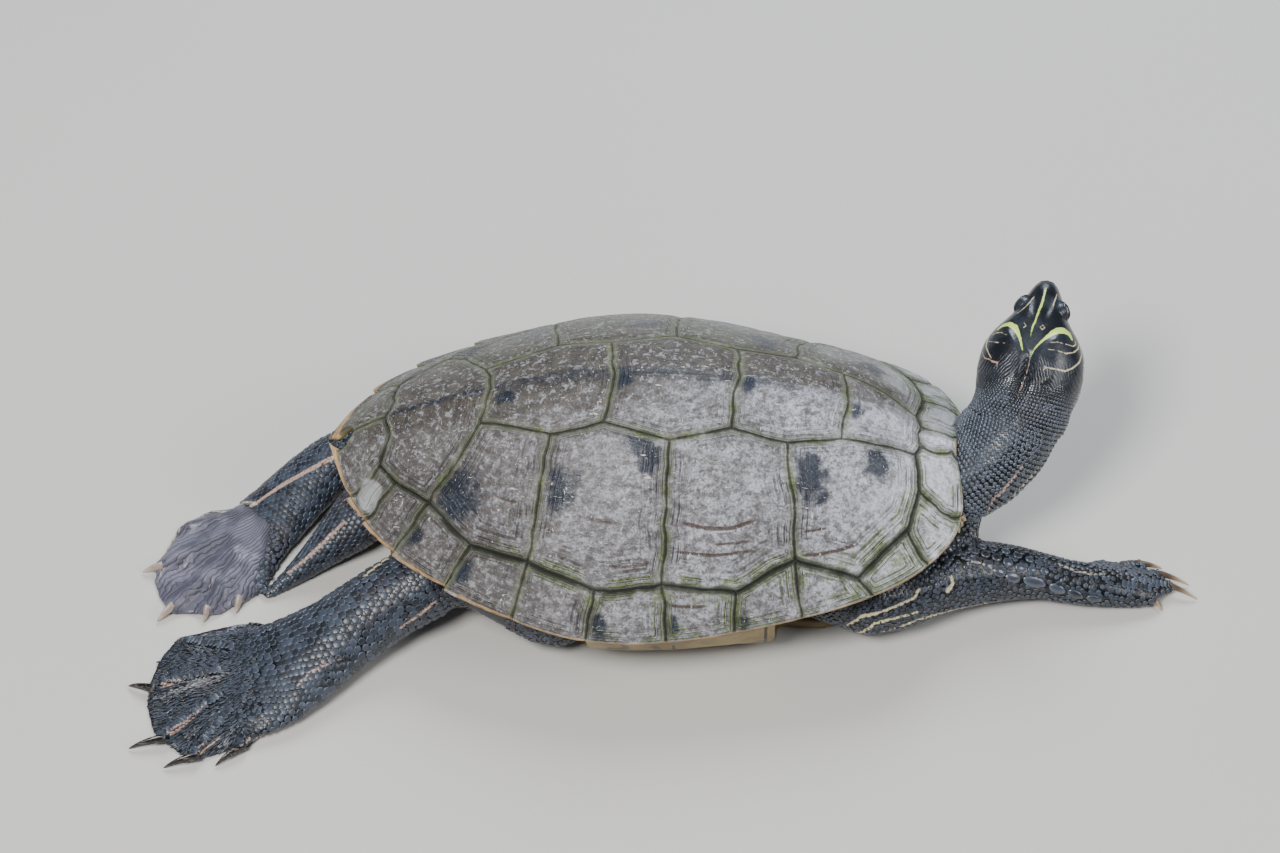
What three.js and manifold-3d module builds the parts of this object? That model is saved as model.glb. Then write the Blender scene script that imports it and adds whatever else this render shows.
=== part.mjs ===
import * as THREE from 'three';
import { mergeVertices } from 'three/addons/utils/BufferGeometryUtils.js';
import Module from 'manifold-3d';

// An adult female Mississippi map turtle at life size, lying with its hind legs stretched back.
// Millimetres. +X points to the front of the shell, +Y to the turtle's left, +Z up.
// The origin lies on the ground under the middle of the shell.

const wasm = await Module();
wasm.setup();

// Driving sizes of the shell. Both lines run from the nuchal notch to the rear notch in even steps.
const keelLine = [
  [109.5, 57.3], [104, 58.2], [96, 61.3], [76, 76.5], [46, 85.4], [10, 90.2],
  [-24, 86.8], [-56, 76.3], [-84, 63], [-101.4, 52], [-112, 44],
];
const rimLine = [
  [109.5, 0, 57.3], [112.6, 22, 43], [101.5, 41, 40], [80, 54.5, 36.5], [47, 65, 32.5], [9, 73, 30.5],
  [-23, 72.3, 30.5], [-55.5, 61, 33], [-86, 42.5, 36], [-103, 22.5, 40], [-112, 0, 44],
];
const shoulderDrop = 0.65; // share of the fall from keel to rim that is done where the dome turns steep
const domePower = 1.7;
const shoulderPlace = 0.72; // across, at the notches
const shoulderShift = 0.08; // further out by this at mid length
const plateThickness = 3;
const rimThickness = 2.2;
const seamHalfGap = 0.16; // between two plates
const cutGap = 0.32; // between any other two neighbours
const plateRoom = 0.5; // kept free by the skin round a plate
const plastronThickness = 4.6;
const trunkClearance = 1.6; // between the trunk and the inside of the dome

// Seams of the carapace as [along, across]: along is 0 at the front and 1 at the rear,
// across is 0 on the keel and 1 on the rim.
const vertebralCross = [
  [[0.201, 0], [0.212, 0.2]], [[0.32, 0], [0.327, 0.257]], [[0.436, 0], [0.442, 0.257]],
  [[0.558, 0], [0.566, 0.245]], [[0.691, 0], [0.703, 0.2]], [[0.834, 0], [0.825, 0.193]],
];
const vertebralApex = [[0.384, 0.31], [0.498, 0.325], [0.624, 0.285]];
const nuchalCorner = [0.2, 0.1];
const nuchalSide = [0.06, 0.25];
const marginalInnerFront = [
  [0.208, 0.477], [0.24, 0.726], [0.308, 0.905], [0.375, 0.795], [0.433, 0.865], [0.5, 0.83],
  [0.571, 0.85], [0.643, 0.79], [0.708, 0.777], [0.757, 0.64],
];
const marginalRimFront = [0.096, 0.201, 0.288, 0.37, 0.432, 0.49, 0.579, 0.66, 0.735, 0.8];
// The right side has one narrow marginal more than the left, next to the last one.
const marginalInnerRear = { left: [[0.822, 0.52]], right: [[0.807, 0.561], [0.837, 0.47]] };
const marginalRimRear = { left: [0.88], right: [0.86, 0.905] };
const nuchalRim = 0.011;

const keelCurve = new THREE.CatmullRomCurve3(
  keelLine.map(([x, z]) => new THREE.Vector3(x, 0, z)), false, 'catmullrom', 0.5);
const rimCurve = new THREE.CatmullRomCurve3(
  rimLine.map(([x, y, z]) => new THREE.Vector3(x, y, z)), false, 'catmullrom', 0.5);

const finishes = {
  carapace: new THREE.MeshStandardMaterial({ color: 0x6f6761, roughness: 0.62, metalness: 0 }),
  plastron: new THREE.MeshStandardMaterial({ color: 0xa8956a, roughness: 0.6, metalness: 0 }),
  skin: new THREE.MeshStandardMaterial({ color: 0x2c3440, roughness: 0.42, metalness: 0 }),
  eye: new THREE.MeshStandardMaterial({ color: 0x14130f, roughness: 0.08, metalness: 0 }),
};

const turtle = new THREE.Group();
function add(name, geometry, material) {
  geometry.computeVertexNormals();
  const mesh = new THREE.Mesh(geometry, material);
  mesh.name = name;
  turtle.add(mesh);
}

// ---- shell surface ----

// Point on the outside of the carapace. A negative across lies on the right side.
function shellPoint(along, across) {
  const keel = keelCurve.getPoint(along);
  const rim = rimCurve.getPoint(along);
  const out = Math.abs(across);
  const shoulder = shoulderPlace + shoulderShift * Math.sin(Math.PI * along);
  const fall = out < shoulder
    ? shoulderDrop * (out / shoulder) ** domePower
    : shoulderDrop + (1 - shoulderDrop) * (out - shoulder) / (1 - shoulder);
  return new THREE.Vector3(
    keel.x + (rim.x - keel.x) * out, rim.y * across, keel.z - (keel.z - rim.z) * fall);
}

// Outward normal there. It turns to the midline's own at the notches, where both sides meet.
function shellNormal(along, across) {
  const step = 0.012;
  const s = THREE.MathUtils.clamp(along, 0.05, 0.97);
  const fromNotch = Math.min(1, along / 0.05, (1 - along) / 0.05);
  const t = THREE.MathUtils.clamp(across, -0.98, 0.98) * fromNotch;
  const back = shellPoint(s + step, t).sub(shellPoint(s - step, t));
  const left = shellPoint(s, t + step).sub(shellPoint(s, t - step));
  return left.cross(back).normalize();
}

function thicknessAt(across) {
  const nearRim = THREE.MathUtils.smoothstep(Math.abs(across), 0.8, 1);
  return plateThickness + (rimThickness - plateThickness) * nearRim;
}

// ---- closed solids from point grids ----

function geometryFrom(points, faces) {
  const geometry = new THREE.BufferGeometry();
  const numbers = points.flatMap((p) => [p.x, p.y, p.z]);
  geometry.setAttribute('position', new THREE.Float32BufferAttribute(numbers, 3));
  geometry.setIndex(faces.flat());
  return geometry;
}

function fine(nodes, counts) {
  const points = [nodes[0]];
  counts.forEach((count, i) => {
    for (let k = 1; k <= count; k += 1) {
      const f = k / count;
      points.push([0, 1].map((c) => nodes[i][c] + (nodes[i + 1][c] - nodes[i][c]) * f));
    }
  });
  return points;
}

// Grid of [along, across] between four edges. Front and rear run left to right, the sides front to rear.
function edgeGrid(front, rear, left, right) {
  const rows = left.length - 1;
  const columns = front.length - 1;
  const grid = [];
  for (let i = 0; i <= rows; i += 1) {
    const v = i / rows;
    const row = [];
    for (let j = 0; j <= columns; j += 1) {
      const u = j / columns;
      row.push([0, 1].map((c) => (1 - v) * front[j][c] + v * rear[j][c]
        + (1 - u) * left[i][c] + u * right[i][c]
        - (1 - u) * (1 - v) * front[0][c] - u * (1 - v) * front[columns][c]
        - (1 - u) * v * rear[0][c] - u * v * rear[columns][c]));
    }
    grid.push(row);
  }
  return grid;
}

// Shifts the outline of a grid of points inwards along the surface, so that neighbours keep a seam.
function insetOutline(loop, normals, distance) {
  return loop.map((point, i) => {
    const before = loop[(i + loop.length - 1) % loop.length];
    const after = loop[(i + 1) % loop.length];
    const a = new THREE.Vector3().crossVectors(normals[i], point.clone().sub(before)).normalize();
    const b = new THREE.Vector3().crossVectors(normals[i], after.clone().sub(point)).normalize();
    const miter = a.clone().add(b).multiplyScalar(1 / Math.max(0.5, 1 + a.dot(b)));
    return point.clone().addScaledVector(miter, distance);
  });
}

// One plate of the carapace from its four edges. Grown, it is the room that soft parts keep free of.
function plate(front, rear, left, right, grow = 0) {
  const grid = edgeGrid(front, rear, left, right);
  const rows = grid.length;
  const columns = grid[0].length;
  const order = [];
  for (let i = 0; i < rows; i += 1) order.push([i, 0]);
  for (let j = 1; j < columns; j += 1) order.push([rows - 1, j]);
  for (let i = rows - 2; i >= 0; i -= 1) order.push([i, columns - 1]);
  for (let j = columns - 2; j > 0; j -= 1) order.push([0, j]);
  const top = grid.flat().map(([s, t]) => shellPoint(s, t));
  const normals = grid.flat().map(([s, t]) => shellNormal(s, t));
  const rim = order.map(([i, j]) => i * columns + j);
  const moved = insetOutline(rim.map((k) => top[k]), rim.map((k) => normals[k]), seamHalfGap - grow);
  rim.forEach((k, n) => { top[k] = moved[n]; });
  top.forEach((p, k) => p.addScaledVector(normals[k], grow));
  const depths = grid.flat().map(([, t]) => thicknessAt(t) + 2 * grow);
  const under = top.map((p, k) => p.clone().addScaledVector(normals[k], -depths[k]));
  const faces = [];
  const count = top.length;
  for (let i = 0; i < rows - 1; i += 1) {
    for (let j = 0; j < columns - 1; j += 1) {
      const a = i * columns + j;
      const b = a + columns;
      faces.push([a, b, b + 1], [a, b + 1, a + 1]);
      faces.push([count + a, count + b + 1, count + b], [count + a, count + a + 1, count + b + 1]);
    }
  }
  rim.forEach((k, n) => {
    const next = rim[(n + 1) % rim.length];
    faces.push([k, count + k, count + next], [k, count + next, next]);
  });
  return geometryFrom([...top, ...under], faces);
}

// Closed body through rings of equal length, with flat ends.
function loft(rings) {
  const size = rings[0].length;
  const faces = [];
  for (let r = 0; r < rings.length - 1; r += 1) {
    for (let k = 0; k < size; k += 1) {
      const a = r * size + k;
      const b = r * size + (k + 1) % size;
      faces.push([a, b, b + size], [a, b + size, a + size]);
    }
  }
  const last = (rings.length - 1) * size;
  for (let k = 1; k < size - 1; k += 1) {
    faces.push([0, k + 1, k], [last, last + k, last + k + 1]);
  }
  return geometryFrom(rings.flat(), faces);
}

// Rings round a bent path of stations { at, wide, high }: half widths across and upwards.
// What would reach under the ground is laid flat on it.
function limbRings(stations, sides, steps) {
  const path = stations.map(({ at }) => new THREE.Vector3(...at));
  const curve = new THREE.CatmullRomCurve3(path, false, 'centripetal');
  const rings = [];
  for (let i = 0; i <= steps; i += 1) {
    const f = i / steps * (stations.length - 1);
    const k = Math.min(Math.floor(f), stations.length - 2);
    const blend = f - k;
    const wide = THREE.MathUtils.lerp(stations[k].wide, stations[k + 1].wide, blend);
    const high = THREE.MathUtils.lerp(stations[k].high, stations[k + 1].high, blend);
    const centre = curve.getPoint(i / steps);
    const ahead = curve.getTangent(i / steps);
    const side = new THREE.Vector3(0, 0, 1).cross(ahead).normalize();
    const up = ahead.clone().cross(side);
    const ring = [];
    for (let n = 0; n < sides; n += 1) {
      const angle = (n + 0.5) / sides * Math.PI * 2;
      const point = centre.clone().addScaledVector(side, Math.cos(angle) * wide)
        .addScaledVector(up, Math.sin(angle) * high);
      point.z = Math.max(point.z, 0);
      ring.push(point);
    }
    rings.push(ring);
  }
  return rings;
}

function solid(geometry) {
  const bare = geometry.clone();
  bare.deleteAttribute('normal');
  bare.deleteAttribute('uv');
  const merged = mergeVertices(bare, 1e-4);
  return new wasm.Manifold(new wasm.Mesh({
    numProp: 3,
    vertProperties: new Float32Array(merged.attributes.position.array),
    triVerts: new Uint32Array(merged.index.array),
  }));
}

// The largest piece of a solid as a geometry.
function geometryOf(shape) {
  const pieces = shape.decompose();
  const main = pieces.reduce((a, b) => (a.volume() > b.volume() ? a : b));
  const mesh = main.getMesh();
  const geometry = new THREE.BufferGeometry();
  geometry.setAttribute('position', new THREE.BufferAttribute(mesh.vertProperties, 3));
  geometry.setIndex(new THREE.BufferAttribute(mesh.triVerts, 1));
  return geometry;
}

function placed(geometry, matrix) {
  return geometry.clone().applyMatrix4(matrix);
}

// ---- carapace ----

const mirrored = (nodes) => nodes.map(([s, t]) => [s, -t]);

function crossEdge([keel, corner]) {
  return fine([corner, keel, [corner[0], -corner[1]]], [2, 2]);
}

function vertebral(index) {
  const front = vertebralCross[index];
  const rear = vertebralCross[index + 1];
  if (index === 0) {
    const side = fine([front[1], rear[1]], [2]);
    const lead = fine([front[1], nuchalCorner, front[0], [nuchalCorner[0], -nuchalCorner[1]],
      [front[1][0], -front[1][1]]], [1, 1, 1, 1]);
    return plate(lead, crossEdge(rear), side, mirrored(side));
  }
  if (index === 4) {
    const root = marginalInnerFront.at(-1);
    const side = (hand) => (hand === 'left'
      ? fine([front[1], root, ...marginalInnerRear.left], [4, 4])
      : fine([front[1], root, ...marginalInnerRear.right], [4, 2, 2]));
    const tail = [...fine([side('left').at(-1), rear[1], rear[0]], [1, 1]),
      ...mirrored(fine([rear[0], rear[1], side('right').at(-1)], [1, 1])).slice(1)];
    return plate(crossEdge(front), tail, side('left'), mirrored(side('right')));
  }
  const side = fine([front[1], vertebralApex[index - 1], rear[1]], index === 3 ? [2, 4] : [2, 2]);
  return plate(crossEdge(front), crossEdge(rear), side, mirrored(side));
}

// Edges of a costal in the order inner, outer, front, rear, each running backwards or outwards.
function costalEdges(index) {
  const corner = vertebralCross.map((edge) => edge[1]);
  const inner = marginalInnerFront;
  if (index === 0) {
    return [fine([corner[0], corner[1], vertebralApex[0]], [2, 2]), fine(inner.slice(1, 4), [2, 2]),
      fine([corner[0], inner[0], inner[1]], [2, 2]), fine([vertebralApex[0], inner[3]], [4])];
  }
  if (index === 3) {
    return [fine([vertebralApex[2], corner[4]], [4]), fine(inner.slice(7, 10), [2, 2]),
      fine([vertebralApex[2], inner[7]], [4]), fine([corner[4], inner[9]], [4])];
  }
  const start = index * 2 + 1;
  return [fine([vertebralApex[index - 1], corner[index + 1], vertebralApex[index]], [2, 2]),
    fine(inner.slice(start, start + 3), [2, 2]), fine([vertebralApex[index - 1], inner[start]], [4]),
    fine([vertebralApex[index], inner[start + 2]], [4])];
}

// A plate beside the keel, from edges given for the left side.
function sidePlate(hand, [inner, outer, front, rear], grow = 0) {
  if (hand === 'left') {
    return plate([...front].reverse(), [...rear].reverse(), outer, inner, grow);
  }
  return plate(mirrored(front), mirrored(rear), mirrored(inner), mirrored(outer), grow);
}

function marginalEdges(hand) {
  const inner = [nuchalCorner, ...marginalInnerFront, ...marginalInnerRear[hand], [0.834, 0]];
  const rim = [nuchalRim, ...marginalRimFront, ...marginalRimRear[hand], 1].map((s) => [s, 1]);
  const seam = (k) => {
    if (k === 0) return [inner[0], nuchalSide, rim[0]];
    if (k === inner.length - 1) return [inner[k], [0.917, 0], rim[k]];
    return fine([inner[k], rim[k]], [2]);
  };
  const plates = [];
  for (let k = 0; k < inner.length - 1; k += 1) {
    let inside = fine([inner[k], inner[k + 1]], [2]);
    if (k === 0) inside = fine([inner[0], vertebralCross[0][1], inner[1]], [1, 2]);
    if (k === inner.length - 2) inside = fine([inner[k], vertebralCross[5][1], inner[k + 1]], [1, 1]);
    if (hand === 'left' && k === 10) inside = fine([inner[k], inner[k + 1]], [4]);
    const outside = fine([rim[k], rim[k + 1]], [inside.length - 1]);
    plates.push([inside, outside, seam(k), seam(k + 1)]);
  }
  return plates;
}

const nuchalLead = [[nuchalRim, 1], [0, 0], [nuchalRim, -1]];
const nuchalTail = [nuchalCorner, [0.201, 0], [nuchalCorner[0], -nuchalCorner[1]]];
const nuchalFlank = [[nuchalRim, 1], nuchalSide, nuchalCorner];
add('nuchal', plate(nuchalLead, nuchalTail, nuchalFlank, mirrored(nuchalFlank)), finishes.carapace);
for (let k = 0; k < 5; k += 1) add(`vertebral_${k + 1}`, vertebral(k), finishes.carapace);
for (const hand of ['left', 'right']) {
  for (let k = 0; k < 4; k += 1) {
    add(`costal_${hand}_${k + 1}`, sidePlate(hand, costalEdges(k)), finishes.carapace);
  }
  marginalEdges(hand).forEach((edges, k) => {
    add(`marginal_${hand}_${k + 1}`, sidePlate(hand, edges), finishes.carapace);
  });
}

// ---- plastron ----

const plastronStations = [49, 32, 15, -2, -17];
const lobeGap = 0.3;

// Cross-section of the middle plastron: flat in the middle, rising on both sides as the bridge
// that carries the carapace. It is drawn for a rim half width of 73 and a rim height of 30.5.
const bridgeOutside = [[42, 0], [56, 7], [66, 17.5]];
const bridgeInside = [[61, 18], [52, 10], [40, plastronThickness]];
const bridgeSeat = [1, 0.95]; // across: where the bridge's top meets the underside of the marginals
const drawnRim = { wide: 73, high: 30.5 };

function alongAtRim(x) {
  const firstBridge = 0.12;
  let low = firstBridge;
  let high = 1;
  for (let i = 0; i < 30; i += 1) {
    const middle = (low + high) / 2;
    if (rimCurve.getPoint(middle).x > x) low = middle;
    else high = middle;
  }
  return low;
}

function bridgeRing(x) {
  const along = alongAtRim(x);
  const rim = rimCurve.getPoint(along);
  const fitted = ([y, z]) => {
    const share = THREE.MathUtils.smoothstep(y, 40, drawnRim.wide);
    const lift = THREE.MathUtils.smoothstep(z, plastronThickness, drawnRim.high);
    return [y * (1 + (rim.y / drawnRim.wide - 1) * share), z + (rim.z - drawnRim.high) * lift];
  };
  const seat = bridgeSeat.map((across) => {
    const depth = thicknessAt(across) + cutGap;
    const point = shellPoint(along, across).addScaledVector(shellNormal(along, across), -depth);
    return [point.y, point.z];
  });
  const half = [...bridgeOutside.map(fitted), ...seat, ...bridgeInside.map(fitted)];
  const right = half.map(([y, z]) => [-y, z]).reverse();
  return [...half, ...right].map(([y, z]) => new THREE.Vector3(x, y, z));
}

// Plan outline of a lobe on the left side, from the middle plate outwards to the midline.
const frontLobe = [[49, 41], [62, 41.5], [78, 38], [91, 28], [98, 14], [97, 0]];
const rearLobe = [[-17, 41], [-48, 40], [-66, 36.5], [-82, 29], [-92, 17], [-90, 8], [-85, 0]];

function lobe(outline, start, grow = 0) {
  const shape = new THREE.Shape();
  const sign = Math.sign(outline[1][0] - outline[0][0]);
  const left = outline.map(([x, y], i) => [x + sign * (i === 0 ? start : grow), y + (y > 0 ? grow : 0)]);
  const right = left.filter(([, y]) => y > 0).map(([x, y]) => [x, -y]).reverse();
  [...left, ...right].forEach(([x, y], i) => (i === 0 ? shape.moveTo(x, y) : shape.lineTo(x, y)));
  return new THREE.ExtrudeGeometry(shape, { depth: plastronThickness + grow, bevelEnabled: false });
}

// The front wall of the middle plate is not planar-convex, so its ends are closed in strips.
function bridgeLoft(rings) {
  const size = rings[0].length;
  const faces = [];
  for (let r = 0; r < rings.length - 1; r += 1) {
    for (let k = 0; k < size; k += 1) {
      const a = r * size + k;
      const b = r * size + (k + 1) % size;
      faces.push([a, b + size, b], [a, a + size, b + size]);
    }
  }
  const last = (rings.length - 1) * size;
  const arm = size / 4;
  const pairs = [];
  for (let k = 0; k < arm; k += 1) pairs.push([k, 2 * arm - 1 - k]);
  const otherPairs = pairs.map(([a, b]) => [size - 1 - a, size - 1 - b]);
  const strip = (list) => {
    for (let k = 0; k < list.length - 1; k += 1) {
      const [a, b] = list[k];
      const [c, d] = list[k + 1];
      faces.push([a, c, d], [a, d, b]);
      faces.push([last + a, last + d, last + c], [last + a, last + b, last + d]);
    }
  };
  strip(pairs);
  strip(otherPairs.map(([a, b]) => [b, a]));
  strip([otherPairs[0], [pairs[0][0], pairs[0][1]]]);
  return geometryFrom(rings.flat(), faces);
}

add('plastron_front', lobe(frontLobe, lobeGap), finishes.plastron);
add('plastron_middle', bridgeLoft(plastronStations.map(bridgeRing)), finishes.plastron);
add('plastron_rear', lobe(rearLobe, lobeGap), finishes.plastron);

// ---- trunk ----

// Stations of the trunk: along, half width under the dome as a share of the rim,
// then the widest point of the flank and the half width of the floor.
const trunkStations = [
  { along: 0.19, dome: 0.5, flank: [18, 24], floor: 14 },
  { along: 0.25, dome: 0.6, flank: [28, 23], floor: 24 },
  { along: 0.33, dome: 0.7, flank: [39, 21], floor: 32 },
  { along: 0.4, dome: 0.84, flank: [50, 19], floor: 37 },
  { along: 0.5, dome: 0.84, flank: [58, 19], floor: 38.5 },
  { along: 0.6, dome: 0.84, flank: [56.5, 19], floor: 38.5 },
  { along: 0.66, dome: 0.74, flank: [43, 19], floor: 35 },
  { along: 0.74, dome: 0.66, flank: [33, 21], floor: 29 },
  { along: 0.81, dome: 0.58, flank: [21, 25], floor: 17 },
  { along: 0.86, dome: 0.42, flank: [10, 29], floor: 7 },
];
const domeShares = [-1, -0.75, -0.45, 0, 0.45, 0.75, 1];

function trunkRings(grow) {
  return trunkStations.map(({ along, dome, flank, floor }) => {
    const depth = plateThickness + trunkClearance - grow;
    const top = domeShares.map((share) => shellPoint(along, share * dome)
      .addScaledVector(shellNormal(along, share * dome), -depth));
    const x = top[0].x;
    const low = plastronThickness + cutGap - grow;
    const right = [[-flank[0] - grow, flank[1]], [-floor - grow, low]];
    const left = right.map(([y, z]) => [-y, z]).reverse();
    const side = (list) => list.map(([y, z]) => new THREE.Vector3(x, y, z));
    return [...top, ...side(left.reverse()), ...side(right.reverse())];
  });
}

const lobeRoom = solid(lobe(frontLobe, -1, cutGap)).add(solid(lobe(rearLobe, -1, cutGap)));
const frontPlates = ['left', 'right'].map((hand) => marginalEdges(hand).slice(0, 3)
  .map((edges) => solid(sidePlate(hand, edges, plateRoom)))
  .reduce((room, shape) => room.add(shape)));
const plateSpace = frontPlates[0].add(frontPlates[1]).add(lobeRoom);

// The skin of the neck, legs and tail keeps this room free for the trunk and the plates around it.
const shellRoom = solid(loft(trunkRings(cutGap))).add(plateSpace);

// ---- neck and head ----

const headBase = new THREE.Vector3(132.9, 18.5, 59);
const headLength = 44;
const headTurn = THREE.MathUtils.degToRad(80);
const headRise = THREE.MathUtils.degToRad(30);

const neckStations = [
  { at: [84, 0, 34], wide: 17, high: 13 },
  { at: [98, -2, 35], wide: 16.6, high: 12.6 },
  { at: [110.7, -0.5, 38.2], wide: 16.6, high: 13.6 },
  { at: [121.4, 3.8, 44.7], wide: 16.4, high: 14.6 },
  { at: [129.1, 10.3, 52.4], wide: 16, high: 13.8 },
];

const headFrame = new THREE.Matrix4().makeTranslation(headBase)
  .multiply(new THREE.Matrix4().makeRotationZ(headTurn))
  .multiply(new THREE.Matrix4().makeRotationY(-headRise));

// Sections of the head from the neck to the snout: share of the length, half width,
// height above the axis and depth below it.
const headStations = [
  [0, 16.4, 13, 13], [0.1, 18, 13.6, 13.4], [0.25, 18.7, 13.8, 13], [0.41, 17.8, 13.2, 12.2],
  [0.54, 15, 12.4, 11.4], [0.65, 11.2, 11.4, 10.6], [0.75, 8.6, 10.2, 9.8], [0.85, 6.6, 8.4, 8.8],
  [0.93, 4.6, 6.3, 7.2], [0.985, 2.9, 4.2, 5], [1, 1.5, 2.6, 3.2],
];
const headSides = 16;
const headSquareness = 0.85; // below 1 the section is fuller than an ellipse
const jawSquareness = 0.9;

function headRing([share, wide, up, down], shift = 0) {
  const ring = [];
  for (let n = 0; n < headSides; n += 1) {
    const angle = (n + 0.5) / headSides * Math.PI * 2;
    const c = Math.cos(angle);
    const s = Math.sin(angle);
    const across = Math.sign(c) * Math.abs(c) ** headSquareness * wide;
    const height = s > 0 ? s ** headSquareness * up : -(Math.abs(s) ** jawSquareness) * down;
    ring.push(new THREE.Vector3(share * headLength + shift, across, height));
  }
  return ring;
}

const napeStation = [-0.1, 16.2, 13.4, 13.2]; // the neck's last ring but one, measured as the head's
const neckSteps = 7;

const eyeRadius = 3.5;
const eyePlace = [0.775 * headLength, 6.1, 3.6];
const mouthHeight = -3.4;
const mouthBack = 0.47 * headLength;

const headBlock = solid(loft(headStations.map((station) => headRing(station))));
const eyeAt = (side, radius) => new THREE.SphereGeometry(radius, 12, 8)
  .rotateX(Math.PI / 2 * side)
  .translate(eyePlace[0], eyePlace[1] * side, eyePlace[2]);
const farBelow = -40;
const farAhead = 60;
const block = (x0, x1, top) => new THREE.BoxGeometry(x1 - x0, farAhead, top - farBelow)
  .translate((x0 + x1) / 2, 0, (farBelow + top) / 2);
let skull = headBlock.subtract(solid(block(mouthBack, farAhead, mouthHeight)));
for (const side of [1, -1]) skull = skull.subtract(solid(eyeAt(side, eyeRadius + cutGap)));
const chin = 0.985 * headLength;
const jaw = headBlock.intersect(solid(block(mouthBack + cutGap, chin, mouthHeight - cutGap)));
add('head', placed(geometryOf(skull), headFrame), finishes.skin);
add('lower_jaw', placed(geometryOf(jaw), headFrame), finishes.skin);
add('eye_left', placed(eyeAt(1, eyeRadius), headFrame), finishes.eye);
add('eye_right', placed(eyeAt(-1, eyeRadius), headFrame), finishes.eye);

function neckRings(grow) {
  const grown = neckStations.map(({ at, wide, high }) => ({ at, wide: wide + grow, high: high + grow }));
  const rings = limbRings(grown, headSides, neckSteps);
  const fromHead = ([share, ...sizes], shift) => headRing([share, ...sizes.map((size) => size + grow)], shift)
    .map((p) => p.applyMatrix4(headFrame));
  return [...rings, fromHead(napeStation, 0), fromHead(headStations[0], -cutGap)];
}
add('neck', geometryOf(solid(loft(neckRings(0))).subtract(shellRoom)), finishes.skin);

// The breast fills the opening between the shell, the neck and the forelegs.
const breast = { at: [99, -2, 21], size: [21, 28, 15] };

function breastBall(grow) {
  return new THREE.SphereGeometry(1, 14, 8)
    .scale(...breast.size.map((radius) => radius + grow))
    .translate(...breast.at);
}

const neckRoom = solid(loft(neckRings(cutGap)));
const breastPart = solid(breastBall(0)).subtract(plateSpace).subtract(neckRoom);
add('trunk', geometryOf(solid(loft(trunkRings(0))).add(breastPart)), finishes.skin);
const legRoom = shellRoom.add(solid(breastBall(cutGap))).add(neckRoom);

// ---- legs and tail ----

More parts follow.
